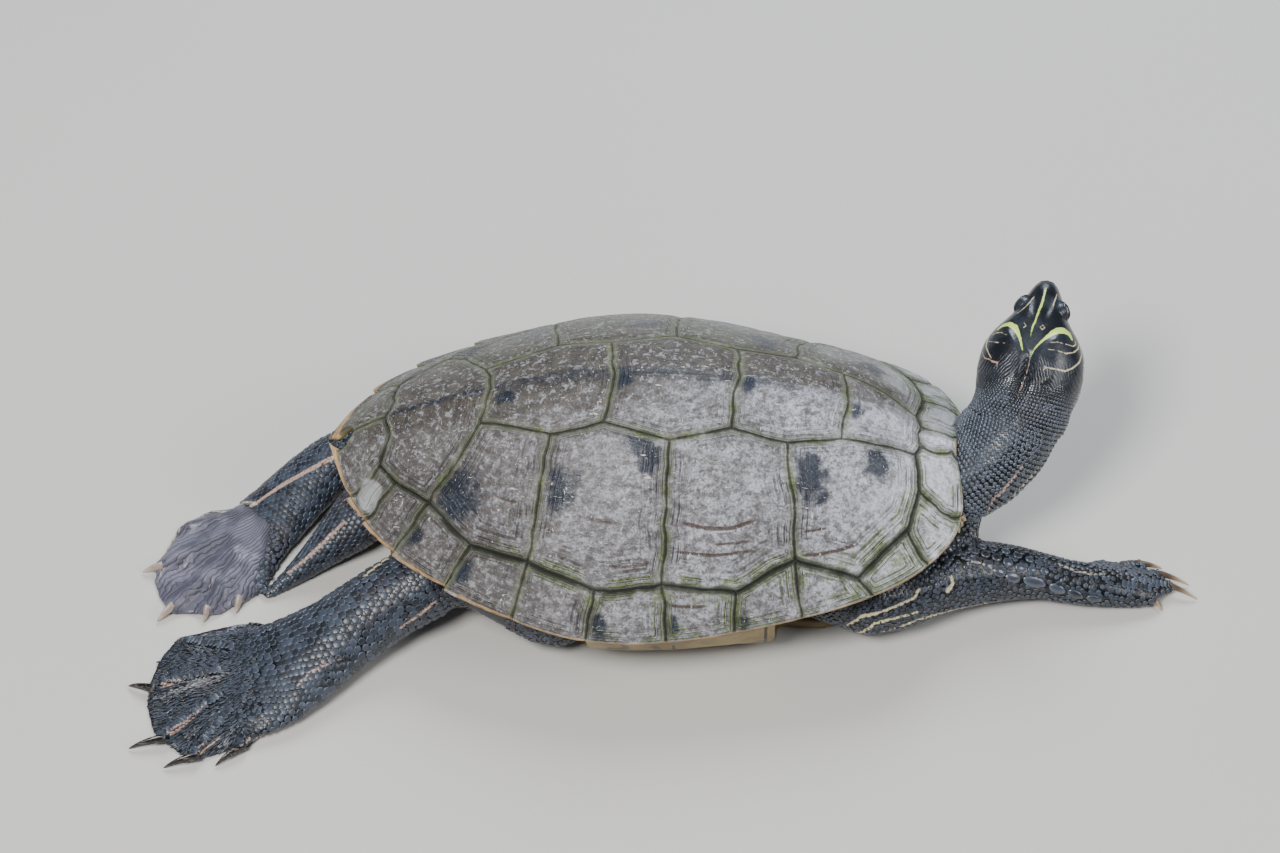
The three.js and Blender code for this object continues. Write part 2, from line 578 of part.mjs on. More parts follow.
// Each leg is one loft from inside the trunk to the foot, parted at the wrist or ankle.
// Its foot adds a flat palm, toes and claws, and a hind leg a fold of loose skin up to the bridge.
const limbSides = 12;
const foldSides = 8;
const extraSteps = 4; // rings beyond one for each station
const limbs = {
  foreleg_right: {
    foot: 'forefoot_right',
    upper: [
      { at: [56, -26, 22], wide: 12, high: 12 }, { at: [74, -36, 17.5], wide: 17, high: 14.5 },
      { at: [92, -33.8, 14.5], wide: 13, high: 13 }, { at: [104, -27.4, 15], wide: 13, high: 13 },
      { at: [116, -23, 13], wide: 12, high: 11.6 }, { at: [128, -20.6, 11.2], wide: 10.4, high: 10.2 },
      { at: [140, -19.7, 9.2], wide: 8.2, high: 8 }, { at: [150, -20.6, 7.8], wide: 7.6, high: 7.4 },
      { at: [160, -21, 6.6], wide: 7.8, high: 6.8 },
    ],
    palm: [
      { at: [171, -20, 4.7], wide: 7.8, high: 5.2 },
      { at: [180, -19.4, 3.4], wide: 7.6, high: 4 }, { at: [185, -19.4, 2.2], wide: 5.8, high: 2.6 },
    ],
    toes: [
      { root: [156, -14, 5], tip: [165, -9.6, 3.6], claw: [171, -7.6, 0.7] },
      { root: [166, -13, 5], tip: [178, -8.8, 3.6], claw: [185, -8, 0.7] },
      { root: [172, -16, 4.5], tip: [184.8, -12.6, 3], claw: [194.5, -14.9, 0.7] },
      { root: [174, -19, 4.5], tip: [188.4, -17.8, 3], claw: [197.3, -21, 0.7] },
      { root: [170, -22.5, 4], tip: [181, -21.6, 3], claw: [184.9, -27, 0.7] },
    ],
    toeRadius: 2.7,
  },
  foreleg_left: {
    foot: 'forefoot_left',
    upper: [
      { at: [56, 24, 22], wide: 12, high: 12 }, { at: [64, 38, 18], wide: 13, high: 12.5 },
      { at: [66, 51, 13], wide: 10.5, high: 11.5 }, { at: [73, 59.5, 9], wide: 8.8, high: 9.2 },
      { at: [80, 61.5, 6.8], wide: 8, high: 7.2 },
    ],
    palm: [
      { at: [88, 62.6, 4.7], wide: 8.6, high: 5.2 },
      { at: [95, 63.4, 3.4], wide: 8.6, high: 4 }, { at: [99, 64, 2.2], wide: 6.4, high: 2.6 },
    ],
    toes: [
      { root: [84, 57, 4.5], tip: [94, 54.6, 2.9], claw: [99, 53, 0.7] },
      { root: [87, 60, 4.5], tip: [99, 58.6, 2.9], claw: [105, 58, 0.7] },
      { root: [88, 63, 4.5], tip: [101, 62.8, 2.9], claw: [107, 63, 0.7] },
      { root: [87, 65, 4.5], tip: [99.4, 67.2, 2.9], claw: [105, 68.4, 0.7] },
      { root: [85, 67, 4], tip: [95, 71, 2.7], claw: [99.5, 73.4, 0.7] },
    ],
    toeRadius: 2.7,
  },
  hindleg_right: {
    foot: 'hindfoot_right',
    fold: [
      { at: [-74, -37, 20], wide: 12, high: 12 }, { at: [-54, -40, 17.5], wide: 10.5, high: 10.5 },
      { at: [-38, -47.5, 15], wide: 12, high: 11 }, { at: [-27, -51, 14.5], wide: 12.4, high: 10.6 },
      { at: [-18.5, -52, 15], wide: 7, high: 7 },
    ],
    upper: [
      { at: [-54, -26, 25], wide: 12, high: 12 }, { at: [-72, -40, 21], wide: 14, high: 13.5 },
      { at: [-90, -50, 15.5], wide: 13.4, high: 13.4 }, { at: [-104, -60.5, 11.2], wide: 14.6, high: 11.4 },
      { at: [-116, -69, 8.2], wide: 18, high: 8.6 }, { at: [-126, -75, 5.6], wide: 21.5, high: 6.2 },
    ],
    palm: [
      { at: [-137, -79, 3.4], wide: 24, high: 4.2 },
      { at: [-150, -81, 2], wide: 24, high: 2.8 }, { at: [-162, -82, 1.2], wide: 20, high: 1.9 },
    ],
    web: [
      [-128, -51], [-140.5, -49.6], [-152, -53.4], [-163.6, -57.6], [-168.6, -67],
      [-171.6, -79], [-170.6, -88], [-166.6, -99.6], [-160, -104.6], [-155.6, -108],
      [-149.6, -110], [-141.4, -106.4], [-134.4, -105.6], [-128, -97],
    ],
    toes: [
      { root: [-137, -66, 3.6], tip: [-160, -60.6, 1.6] },
      { root: [-138, -73, 4.2], tip: [-169.4, -81.6, 2.3], claw: [-178, -79.6, 0.7] },
      { root: [-138, -80, 4.4], tip: [-162.4, -102.8, 2.3], claw: [-174, -106.2, 0.7] },
      { root: [-136, -86, 4.4], tip: [-150.8, -109.8, 2.3], claw: [-160.8, -113.6, 0.7] },
      { root: [-130, -90, 4], tip: [-135.2, -105.2, 2.3], claw: [-143, -111.8, 0.7] },
    ],
    toeRadius: 3,
  },
  hindleg_left: {
    foot: 'hindfoot_left',
    fold: [
      { at: [-72, 30, 20], wide: 12, high: 12 }, { at: [-54, 39, 17.5], wide: 10.5, high: 10.5 },
      { at: [-38, 47.5, 15], wide: 12, high: 11 }, { at: [-27, 51, 14.5], wide: 12.4, high: 10.6 },
      { at: [-18.5, 52, 15], wide: 7, high: 7 },
    ],
    upper: [
      { at: [-54, 26, 25], wide: 12, high: 12 }, { at: [-76, 28, 19], wide: 13, high: 12 },
      { at: [-96, 25, 13.4], wide: 11.2, high: 11.4 }, { at: [-114.6, 17.6, 9.8], wide: 10.4, high: 10 },
      { at: [-123.4, 9.2, 7.8], wide: 11.4, high: 8.2 }, { at: [-132.2, -1.6, 5.6], wide: 12.8, high: 6.2 },
    ],
    palm: [
      { at: [-140.8, -11.6, 3.4], wide: 14.8, high: 4.2 },
      { at: [-149.6, -24, 2], wide: 19, high: 2.8 }, { at: [-157, -33, 1.2], wide: 19, high: 1.9 },
    ],
    web: [
      [-140, 4], [-148.4, 2], [-159.4, 0], [-170, -8.5], [-174, -21.5],
      [-176.6, -26], [-175.6, -33.5], [-172, -42], [-167, -48], [-156, -49.6],
      [-149.6, -47.6], [-144.6, -44.6], [-139.4, -37], [-135.6, -27],
    ],
    toes: [
      { root: [-147, -4, 3.6], tip: [-166, -9, 1.6] },
      { root: [-149, -12, 4.2], tip: [-174.6, -28.4, 2.3], claw: [-182, -30, 0.7] },
      { root: [-147, -20, 4.4], tip: [-168, -47, 2.3], claw: [-173.2, -52.6, 0.7] },
      { root: [-145, -24, 4.4], tip: [-154.4, -47.4, 2.3], claw: [-155.4, -51.6, 0.7] },
      { root: [-141, -25, 4], tip: [-143.6, -42.4, 2.3], claw: [-144.4, -47.2, 0.7] },
    ],
    toeRadius: 3,
  },
};

const tailStations = [
  { at: [-80, 0, 24], wide: 11, high: 10 }, { at: [-96, -5, 17], wide: 11, high: 10 },
  { at: [-105, -11.5, 11.5], wide: 10.4, high: 9 }, { at: [-113, -18.5, 7.6], wide: 7, high: 6.8 },
  { at: [-121, -26, 4.6], wide: 4.4, high: 4.8 }, { at: [-128, -32.6, 2.6], wide: 2.6, high: 2.9 },
  { at: [-134.4, -38.2, 1.1], wide: 1.2, high: 1.2 },
];

// A rod between two points with a radius at each end; the lower half may lie flat on the ground.
function rod(from, to, radiusFrom, radiusTo, sides) {
  const middle = from.map((value, i) => (value + to[i]) / 2);
  return solid(loft(limbRings([
    { at: from, wide: radiusFrom, high: radiusFrom },
    { at: middle, wide: (radiusFrom + radiusTo) / 2, high: (radiusFrom + radiusTo) / 2 },
    { at: to, wide: radiusTo, high: radiusTo },
  ], sides, 2)));
}

const toeSides = 7;
const clawSides = 6;
const toeTaper = 0.8;
const webThickness = 1.8;
const clawRadius = 1.5;
const clawTipRadius = 0.35;

function wholeLimb({ upper, palm, fold, web, toes, toeRadius }) {
  const stations = [...upper, ...palm];
  let limb = solid(loft(limbRings(stations, limbSides, stations.length + extraSteps)));
  if (fold) limb = limb.add(solid(loft(limbRings(fold, foldSides, fold.length))));
  if (web) {
    const outline = new THREE.Shape(web.map(([x, y]) => new THREE.Vector2(x, y)));
    limb = limb.add(solid(new THREE.ExtrudeGeometry(outline, { depth: webThickness, bevelEnabled: false })));
  }
  for (const { root, tip, claw } of toes) {
    limb = limb.add(rod(root, tip, toeRadius, toeRadius * toeTaper, toeSides));
    if (claw) limb = limb.add(rod(tip, claw, clawRadius, clawTipRadius, clawSides));
  }
  return limb;
}

for (const [name, limb] of Object.entries(limbs)) {
  const whole = wholeLimb(limb).subtract(legRoom);
  const wrist = new THREE.Vector3(...limb.upper.at(-1).at);
  const ahead = new THREE.Vector3(...limb.palm[0].at).sub(wrist).normalize();
  const cut = ahead.dot(wrist);
  add(name, geometryOf(whole.trimByPlane(ahead.clone().negate().toArray(), -cut)), finishes.skin);
  add(limb.foot, geometryOf(whole.trimByPlane(ahead.toArray(), cut + cutGap)), finishes.skin);
}
const wholeTail = solid(loft(limbRings(tailStations, limbSides, tailStations.length + extraSteps)));
add('tail', geometryOf(wholeTail.subtract(shellRoom)), finishes.skin);

export default turtle;
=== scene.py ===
import math
import random

import bpy
import numpy as np
from mathutils import Matrix, Vector
from mathutils.bvhtree import BVHTree
from mathutils.kdtree import KDTree


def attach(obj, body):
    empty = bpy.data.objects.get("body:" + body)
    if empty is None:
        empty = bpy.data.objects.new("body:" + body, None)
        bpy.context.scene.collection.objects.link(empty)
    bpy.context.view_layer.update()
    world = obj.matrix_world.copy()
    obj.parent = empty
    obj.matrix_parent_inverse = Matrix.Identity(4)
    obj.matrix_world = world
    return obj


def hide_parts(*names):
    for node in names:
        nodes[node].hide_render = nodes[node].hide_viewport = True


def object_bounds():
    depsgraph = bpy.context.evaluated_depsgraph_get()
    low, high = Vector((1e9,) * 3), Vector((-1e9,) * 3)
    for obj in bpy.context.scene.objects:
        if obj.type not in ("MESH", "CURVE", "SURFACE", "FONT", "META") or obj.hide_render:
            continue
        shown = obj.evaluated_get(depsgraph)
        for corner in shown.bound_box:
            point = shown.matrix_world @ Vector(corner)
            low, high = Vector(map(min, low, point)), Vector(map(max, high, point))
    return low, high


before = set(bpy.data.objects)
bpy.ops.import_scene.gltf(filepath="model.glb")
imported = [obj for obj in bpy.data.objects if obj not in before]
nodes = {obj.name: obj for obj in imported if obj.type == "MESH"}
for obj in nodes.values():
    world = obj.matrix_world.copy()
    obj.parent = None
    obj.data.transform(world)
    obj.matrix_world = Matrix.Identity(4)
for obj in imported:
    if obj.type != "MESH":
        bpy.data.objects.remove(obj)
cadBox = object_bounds()
mm = 0.001  # tables are in millimetres, meshes in metres


# Picking, reading and writing meshes

def deselectAll():
    if bpy.context.object and bpy.context.object.mode != "OBJECT":
        bpy.ops.object.mode_set(mode="OBJECT")
    bpy.ops.object.select_all(action="DESELECT")


def pick(*pieces):
    deselectAll()
    for piece in pieces:
        piece.select_set(True)
    bpy.context.view_layer.objects.active = pieces[0]


def placesOf(piece):
    flat = np.empty(len(piece.data.vertices) * 3, np.float32)
    piece.data.vertices.foreach_get("co", flat)
    return flat.reshape(-1, 3).astype(np.float64) / mm


def setPlaces(piece, places):
    piece.data.vertices.foreach_set("co", (np.asarray(places) * mm).astype(np.float32).ravel())
    piece.data.update()


def normalsOf(piece):
    flat = np.empty(len(piece.data.vertices) * 3, np.float32)
    piece.data.vertex_normals.foreach_get("vector", flat)
    return flat.reshape(-1, 3).astype(np.float64)


def setMark(piece, name, values):
    mark = piece.data.attributes.get(name) or piece.data.attributes.new(name, "FLOAT", "POINT")
    mark.data.foreach_set("value", np.asarray(values, np.float32).ravel())


def shadeSmooth(piece):
    piece.data.polygons.foreach_set("use_smooth", np.ones(len(piece.data.polygons), bool))
    piece.data.update()


def step(low, high, value):
    share = np.clip((value - low) / (high - low), 0, 1)
    return share * share * (3 - 2 * share)


lattice = np.random.default_rng(11).uniform(-1, 1, (32, 32, 32))


def softNoise(places, size, seed=0):
    # smooth random field between -1 and 1 over places in mm
    spot = np.asarray(places, float) / size + seed * 7.31
    cell = np.floor(spot).astype(int)
    part = spot - cell
    part = part * part * (3 - 2 * part)
    total = np.zeros(len(spot))
    for corner in range(8):
        offset = np.array([corner & 1, corner >> 1 & 1, corner >> 2 & 1])
        index = (cell + offset) % 32
        weight = np.prod(np.where(offset, part, 1 - part), axis=1)
        total += weight * lattice[index[:, 0], index[:, 1], index[:, 2]]
    return total


def lineDistance(places, line):
    # distance to a bent line and how far along it the nearest point lies, from 0 to 1
    line = np.asarray(line, float)
    best = np.full(len(places), 1e9)
    share = np.zeros(len(places))
    for k in range(len(line) - 1):
        run = line[k + 1] - line[k]
        size = max(run @ run, 1e-9)
        t = np.clip((places - line[k]) @ run / size, 0, 1)
        gap = np.linalg.norm(places - line[k] - t[:, None] * run, axis=1)
        nearer = gap < best
        best[nearer] = gap[nearer]
        share[nearer] = ((k + t) / (len(line) - 1))[nearer]
    return best, share


def curveThrough(points, share):
    # smooth curve through evenly spaced points
    points = np.asarray(points, float)
    count = len(points) - 1
    spot = np.clip(share, 0, 1) * count
    index = np.minimum(spot.astype(int), count - 1)
    w = (spot - index)[..., None]
    padded = np.vstack([2 * points[0] - points[1], points, 2 * points[-1] - points[-2]])
    p0, p1, p2, p3 = (padded[index + k] for k in range(4))
    out, back = (p2 - p0) / 2, (p3 - p1) / 2
    cubic = 2 * p1 - 2 * p2 + out + back
    square = -3 * p1 + 3 * p2 - 2 * out - back
    return cubic * w ** 3 + square * w ** 2 + out * w + p1


# Shader building blocks

def tint(red, green, blue):
    def linear(value):
        value = value / 255
        return value / 12.92 if value <= 0.04045 else ((value + 0.055) / 1.055) ** 2.4
    return (linear(red), linear(green), linear(blue), 1)


def put(tree, kind, values=None, **settings):
    made = tree.nodes.new(kind)
    for name, value in settings.items():
        setattr(made, name, value)
    for socket, value in (values or {}).items():
        if isinstance(value, bpy.types.NodeSocket):
            tree.links.new(value, made.inputs[socket])
        else:
            made.inputs[socket].default_value = value
    return made


def calc(tree, operation, *values, clamp=False):
    made = put(tree, "ShaderNodeMath", dict(enumerate(values)), operation=operation, use_clamp=clamp)
    return made.outputs[0]


def times(tree, first, second):
    return calc(tree, "MULTIPLY", first, second)


def plus(tree, first, second):
    return calc(tree, "ADD", first, second)


def minus(tree, first, second):
    return calc(tree, "SUBTRACT", first, second)


def shaken(tree, value, noise, amount):
    # moves a value up and down by a noise that runs from 0 to 1
    return plus(tree, value, times(tree, minus(tree, noise, 0.5), amount))


def blend(tree, factor, first, second):
    # sockets 6 and 7 of the mix node are its two colours
    made = put(tree, "ShaderNodeMix", {0: factor, 6: first, 7: second}, data_type="RGBA")
    return made.outputs[2]


def layered(tree, color, *layers):
    # lays tones over a colour, each as far as its mask says
    for level, tone in layers:
        color = blend(tree, level, color, tone)
    return color


def window(tree, value, low, high, start=0, end=1):
    # soft step from start at low to end at high
    made = put(tree, "ShaderNodeMapRange", {0: value, 1: low, 2: high, 3: start, 4: end},
               interpolation_type="SMOOTHSTEP")
    return made.outputs[0]


def mark(tree, name):
    return put(tree, "ShaderNodeAttribute", attribute_name=name).outputs["Fac"]


def marks(tree, names):
    return [mark(tree, name) for name in names.split()]


def grain(tree, scale, detail=3.0, stretch=None, rough=0.55, distort=0.0):
    # noise over Object coordinates, scale in features per millimetre
    spot = put(tree, "ShaderNodeTexCoord").outputs["Object"]
    scales = [value / mm for value in stretch or (1, 1, 1)]
    spot = put(tree, "ShaderNodeMapping", {0: spot, 3: scales}).outputs[0]
    made = put(tree, "ShaderNodeTexNoise", {"Vector": spot, "Scale": scale, "Detail": detail,
                                            "Roughness": rough, "Distortion": distort})
    return made.outputs[0]


def effectGroup(name, inputs, outputs):
    tree = bpy.data.node_groups.new(name, "ShaderNodeTree")
    for label, kind, value in inputs:
        socket = tree.interface.new_socket(label, in_out="INPUT", socket_type="NodeSocket" + kind)
        socket.default_value = value
    for label, kind in outputs:
        tree.interface.new_socket(label, in_out="OUTPUT", socket_type="NodeSocket" + kind)
    return tree, tree.nodes.new("NodeGroupInput").outputs, tree.nodes.new("NodeGroupOutput").inputs


def place(tree, group, **values):
    made = tree.nodes.new("ShaderNodeGroup")
    made.node_tree = group
    for label, value in values.items():
        socket = made.inputs[label]
        if isinstance(value, bpy.types.NodeSocket):
            tree.links.new(value, socket)
        else:
            socket.default_value = value
    return made.outputs


def newMaterial(name, **constants):
    made = bpy.data.materials.new(name)
    made.use_nodes = True
    tree = made.node_tree
    shader = tree.nodes["Principled BSDF"]
    for label, value in constants.items():
        shader.inputs[label.replace("_", " ")].default_value = value
    return made, tree, shader


def bumpOf(tree, height, strength=1.0, distance=0.0002):
    return put(tree, "ShaderNodeBump", {"Height": height, "Strength": strength,
                                        "Distance": distance}).outputs[0]


def dress(piece, material):
    piece.data.materials.clear()
    piece.data.materials.append(material)


# Camera, floor and light

# place and directions of the camera, in mm
camera = dict(place=(80.557, -940.388, 1225.143), ahead=(-0.05484889, 0.62692564, -0.77714596),
              up=(-0.04163219, 0.77620486, 0.62910474), lens=120.2, sensor=36)

ahead = Vector(camera["ahead"]).normalized()
right = ahead.cross(Vector(camera["up"])).normalized()
bpy.ops.object.camera_add()
view = bpy.context.object
view.matrix_world = (Matrix.Translation(Vector(camera["place"]) * mm)
                     @ Matrix((right, right.cross(ahead), -ahead)).transposed().to_4x4())
view.data.lens = camera["lens"]
view.data.sensor_width = camera["sensor"]
view.data.sensor_fit = "HORIZONTAL"
view.data.clip_start = 0.05
bpy.context.scene.camera = view

studio = dict(floor=6, floorShades=(tint(205, 203, 198), tint(212, 210, 206)),
              air=(0.8, 0.86, 0.93, 1), airStrength=0.15)
deselectAll()
bpy.ops.mesh.primitive_plane_add(size=studio["floor"])
floor = bpy.context.object
floor.name = "floor"
material, tree, shader = newMaterial("paleFloor", Roughness=0.7)
wash = grain(tree, 0.004, 2)
tree.links.new(blend(tree, wash, *studio["floorShades"]), shader.inputs["Base Color"])
dress(floor, material)

# place, look-at point, size and power of each soft lamp, in metres and watts
lamps = {
    "keyLamp": dict(at=(-0.45, -0.75, 1.35), to=(0, 0, 0.03), size=0.55, power=25, shade=(1, 0.985, 0.96)),
    "skyLamp": dict(at=(0.15, 1.05, 1.15), to=(0, 0, 0.03), size=0.8, power=19, shade=(0.84, 0.92, 1)),
    "sideLamp": dict(at=(1.15, -0.35, 0.9), to=(0.1, 0, 0.03), size=0.6, power=7, shade=(1, 1, 1)),
}
for name, lamp in lamps.items():
    bpy.ops.object.light_add(type="AREA", location=lamp["at"])
    light = bpy.context.object
    light.name = name
    light.data.shape = "DISK"
    light.data.size = lamp["size"]
    light.data.energy = lamp["power"]
    light.data.color = lamp["shade"]
    light.rotation_euler = (Vector(lamp["to"]) - Vector(lamp["at"])).to_track_quat("-Z", "Y").to_euler()

sky = bpy.data.worlds.new("studioAir")
sky.use_nodes = True
background = sky.node_tree.nodes["Background"]
background.inputs["Color"].default_value = studio["air"]
background.inputs["Strength"].default_value = studio["airStrength"]
bpy.context.scene.world = sky
print("camera, floor and lamps are in place")


# Shell surface: along runs 0 to 1 from the front notch to the rear one, across is 0 on the keel
# and 1 on the rim, negative on the turtle's right

shell = dict(
    keel=[(109.5, 57.3), (104, 58.2), (96, 61.3), (76, 76.5), (46, 85.4), (10, 90.2),
          (-24, 86.8), (-56, 76.3), (-84, 63), (-101.4, 52), (-112, 44)],
    rim=[(109.5, 0, 57.3), (112.6, 22, 43), (101.5, 41, 40), (80, 54.5, 36.5), (47, 65, 32.5), (9, 73, 30.5),
         (-23, 72.3, 30.5), (-55.5, 61, 33), (-86, 42.5, 36), (-103, 22.5, 40), (-112, 0, 44)],
    shoulderDrop=0.65, domePower=1.7, shoulderPlace=0.72, shoulderShift=0.08,
    thickness=2.9, rimThickness=2.1,
    keelHeight=0.9, keelWidth=6.5,  # ridge along the back
    quad=0.6,  # width of the finest faces
    gap=0.03,  # between two plates
    sway=(0.0036, 0.009),  # how far seams wander, along and across
)
vertebralCross = [[(0.201, 0), (0.212, 0.2)], [(0.32, 0), (0.327, 0.257)], [(0.436, 0), (0.442, 0.257)],
                  [(0.558, 0), (0.566, 0.245)], [(0.691, 0), (0.703, 0.2)], [(0.834, 0), (0.825, 0.193)]]
vertebralApex = [(0.384, 0.31), (0.498, 0.325), (0.624, 0.285)]
nuchalCorner = (0.2, 0.1)
nuchalSide = (0.06, 0.25)
nuchalRim = 0.011
marginalInner = [(0.208, 0.477), (0.24, 0.726), (0.308, 0.905), (0.375, 0.795), (0.433, 0.865),
                 (0.5, 0.83), (0.571, 0.85), (0.643, 0.79), (0.708, 0.777), (0.757, 0.64)]
marginalRim = [0.096, 0.201, 0.288, 0.37, 0.432, 0.49, 0.579, 0.66, 0.735, 0.8]
marginalRear = {"left": ([(0.822, 0.52)], [0.88]), "right": ([(0.807, 0.561), (0.837, 0.47)], [0.86, 0.905])}


def shellPoint(along, across):
    keel = curveThrough(shell["keel"], along)
    rim = curveThrough(shell["rim"], along)
    out = np.abs(across)
    shoulder = shell["shoulderPlace"] + shell["shoulderShift"] * np.sin(np.pi * along)
    drop = shell["shoulderDrop"]
    inner = drop * (np.minimum(out, shoulder) / shoulder) ** shell["domePower"]
    fall = np.where(out < shoulder, inner, drop + (1 - drop) * (out - shoulder) / (1 - shoulder))
    return np.stack([keel[:, 0] + (rim[:, 0] - keel[:, 0]) * out, rim[:, 1] * across,
                     keel[:, 1] - (keel[:, 1] - rim[:, 2]) * fall], axis=1)


def shellNormal(along, across):
    width = 0.012
    s = np.clip(along, 0.05, 0.97)
    t = np.clip(across, -0.98, 0.98) * np.minimum(1, np.minimum(along / 0.05, (1 - along) / 0.05))
    back = shellPoint(s + width, t) - shellPoint(s - width, t)
    left = shellPoint(s, t + width) - shellPoint(s, t - width)
    normal = np.cross(left, back)
    return normal / np.linalg.norm(normal, axis=1, keepdims=True)


def mirrored(line):
    return [(s, -t) for s, t in line]


def reverse(line):
    return list(line)[::-1]


def sidePlate(hand, inner, outer, front, rear):
    if hand == "left":
        return reverse(front), reverse(rear), outer, inner
    return mirrored(front), mirrored(rear), mirrored(inner), mirrored(outer)


def plateOutlines():
    # front and rear edges run from left to right, left and right edges from front to rear
    cross = [[corner, keel, (corner[0], -corner[1])] for keel, corner in vertebralCross]
    corner = [pair[1] for pair in vertebralCross]
    lead = [(nuchalRim, 1), (0, 0), (nuchalRim, -1)]
    flank = [(nuchalRim, 1), nuchalSide, nuchalCorner]
    outlines = {"nuchal": (lead, [nuchalCorner, (0.201, 0), (nuchalCorner[0], -nuchalCorner[1])],
                           flank, mirrored(flank))}
    first = [corner[0], nuchalCorner, vertebralCross[0][0], (nuchalCorner[0], -nuchalCorner[1]),
             (corner[0][0], -corner[0][1])]
    outlines["vertebral_1"] = (first, cross[1], [corner[0], corner[1]], mirrored([corner[0], corner[1]]))
    for k in (1, 2, 3):
        side = [corner[k], vertebralApex[k - 1], corner[k + 1]]
        outlines[f"vertebral_{k + 1}"] = (cross[k], cross[k + 1], side, mirrored(side))
    root = marginalInner[-1]
    left = [corner[4], root, marginalRear["left"][0][0]]
    right = [corner[4], root, *marginalRear["right"][0]]
    tail = [left[-1], corner[5], vertebralCross[5][0], (corner[5][0], -corner[5][1]),
            (right[-1][0], -right[-1][1])]
    outlines["vertebral_5"] = (cross[4], tail, left, mirrored(right))
    for hand in ("left", "right"):
        inner = marginalInner
        costals = [
            ([corner[0], corner[1], vertebralApex[0]], inner[1:4], [corner[0], inner[0], inner[1]],
             [vertebralApex[0], inner[3]]),
            ([vertebralApex[0], corner[2], vertebralApex[1]], inner[3:6], [vertebralApex[0], inner[3]],
             [vertebralApex[1], inner[5]]),
            ([vertebralApex[1], corner[3], vertebralApex[2]], inner[5:8], [vertebralApex[1], inner[5]],
             [vertebralApex[2], inner[7]]),
            ([vertebralApex[2], corner[4]], inner[7:10], [vertebralApex[2], inner[7]],
             [corner[4], inner[9]]),
        ]
        for k, edges in enumerate(costals):
            outlines[f"costal_{hand}_{k + 1}"] = sidePlate(hand, *edges)
        rearInner, rearRim = marginalRear[hand]
        inside = [nuchalCorner, *marginalInner, *rearInner, (0.834, 0)]
        outside = [(s, 1) for s in (nuchalRim, *marginalRim, *rearRim, 1)]
        last = len(inside) - 1
        for k in range(last):
            near = [inside[k], inside[k + 1]]
            if k == 0:
                near = [inside[0], corner[0], inside[1]]
            if k == last - 1:
                near = [inside[k], corner[5], inside[last]]
            seams = []
            for m in (k, k + 1):
                if m == 0:
                    seams.append([inside[0], nuchalSide, outside[0]])
                elif m == last:
                    seams.append([inside[last], (0.917, 0), outside[last]])
                else:
                    seams.append([inside[m], outside[m]])
            outlines[f"marginal_{hand}_{k + 1}"] = sidePlate(
                hand, near, [outside[k], outside[k + 1]], *seams)
    return outlines


def onEdge(edge, share):
    # even steps of real length along a bent edge, so that neighbours agree
    edge = np.asarray(edge, float)
    size = np.linalg.norm(np.diff(edge, axis=0) * (1, 0.36), axis=1)
    reach = np.concatenate([[0], np.cumsum(size)]) / max(size.sum(), 1e-9)
    return np.stack([np.interp(share, reach, edge[:, 0]), np.interp(share, reach, edge[:, 1])], axis=1)


def insidePlate(edges, u, v):
    # u runs from left to right, v from front to rear
    front, rear, left, right = edges
    atFront, atRear, atLeft, atRight = onEdge(front, u), onEdge(rear, u), onEdge(left, v), onEdge(right, v)
    u, v = u[:, None], v[:, None]
    corners = ((1 - u) * (1 - v) * np.asarray(front[0]) + u * (1 - v) * np.asarray(front[-1])
               + (1 - u) * v * np.asarray(rear[0]) + u * v * np.asarray(rear[-1]))
    return (1 - v) * atFront + v * atRear + (1 - u) * atLeft + u * atRight - corners


def swayed(spots):
    # lets every seam wander a little; neighbours share the same field
    s, t = spots[:, 0], spots[:, 1]
    field = np.stack([s * 220, t * 80, np.zeros(len(s))], axis=1)
    calm = step(0, 0.05, s) * step(0, 0.05, 1 - s)
    ds = shell["sway"][0] * (softNoise(field, 11, 1) + 0.5 * softNoise(field, 4, 2)) * calm
    dt = shell["sway"][1] * (softNoise(field, 12, 3) + 0.5 * softNoise(field, 4.5, 4)) * calm
    return s + ds, t + dt * step(0, 0.06, 1 - np.abs(t))


# blue-black patches of the horn: along, across, radius in mm
smudges = [(0.722, -0.573, 8.4), (0.603, -0.509, 7), (0.522, -0.364, 6.6), (0.361, -0.455, 7.8),
           (0.28, -0.364, 5.2), (0.672, -0.079, 3.6), (0.55, -0.039, 4.2), (0.428, -0.02, 3.6),
           (0.313, -0.048, 4.2), (0.776, -0.844, 4), (0.718, -0.902, 4.2), (0.564, -0.945, 3.6),
           (0.486, -0.947, 3.2), (0.423, -0.97, 3.2), (0.655, 0.55, 8), (0.53, 0.5, 7.4), (0.415, 0.46, 7.6),
           (0.3, 0.5, 6.4), (0.73, 0.6, 6.8), (0.64, 0.93, 4), (0.5, 0.94, 3.6), (0.36, 0.93, 3.6),
           (0.78, 0.86, 4), (0.22, 0.86, 3.4)]

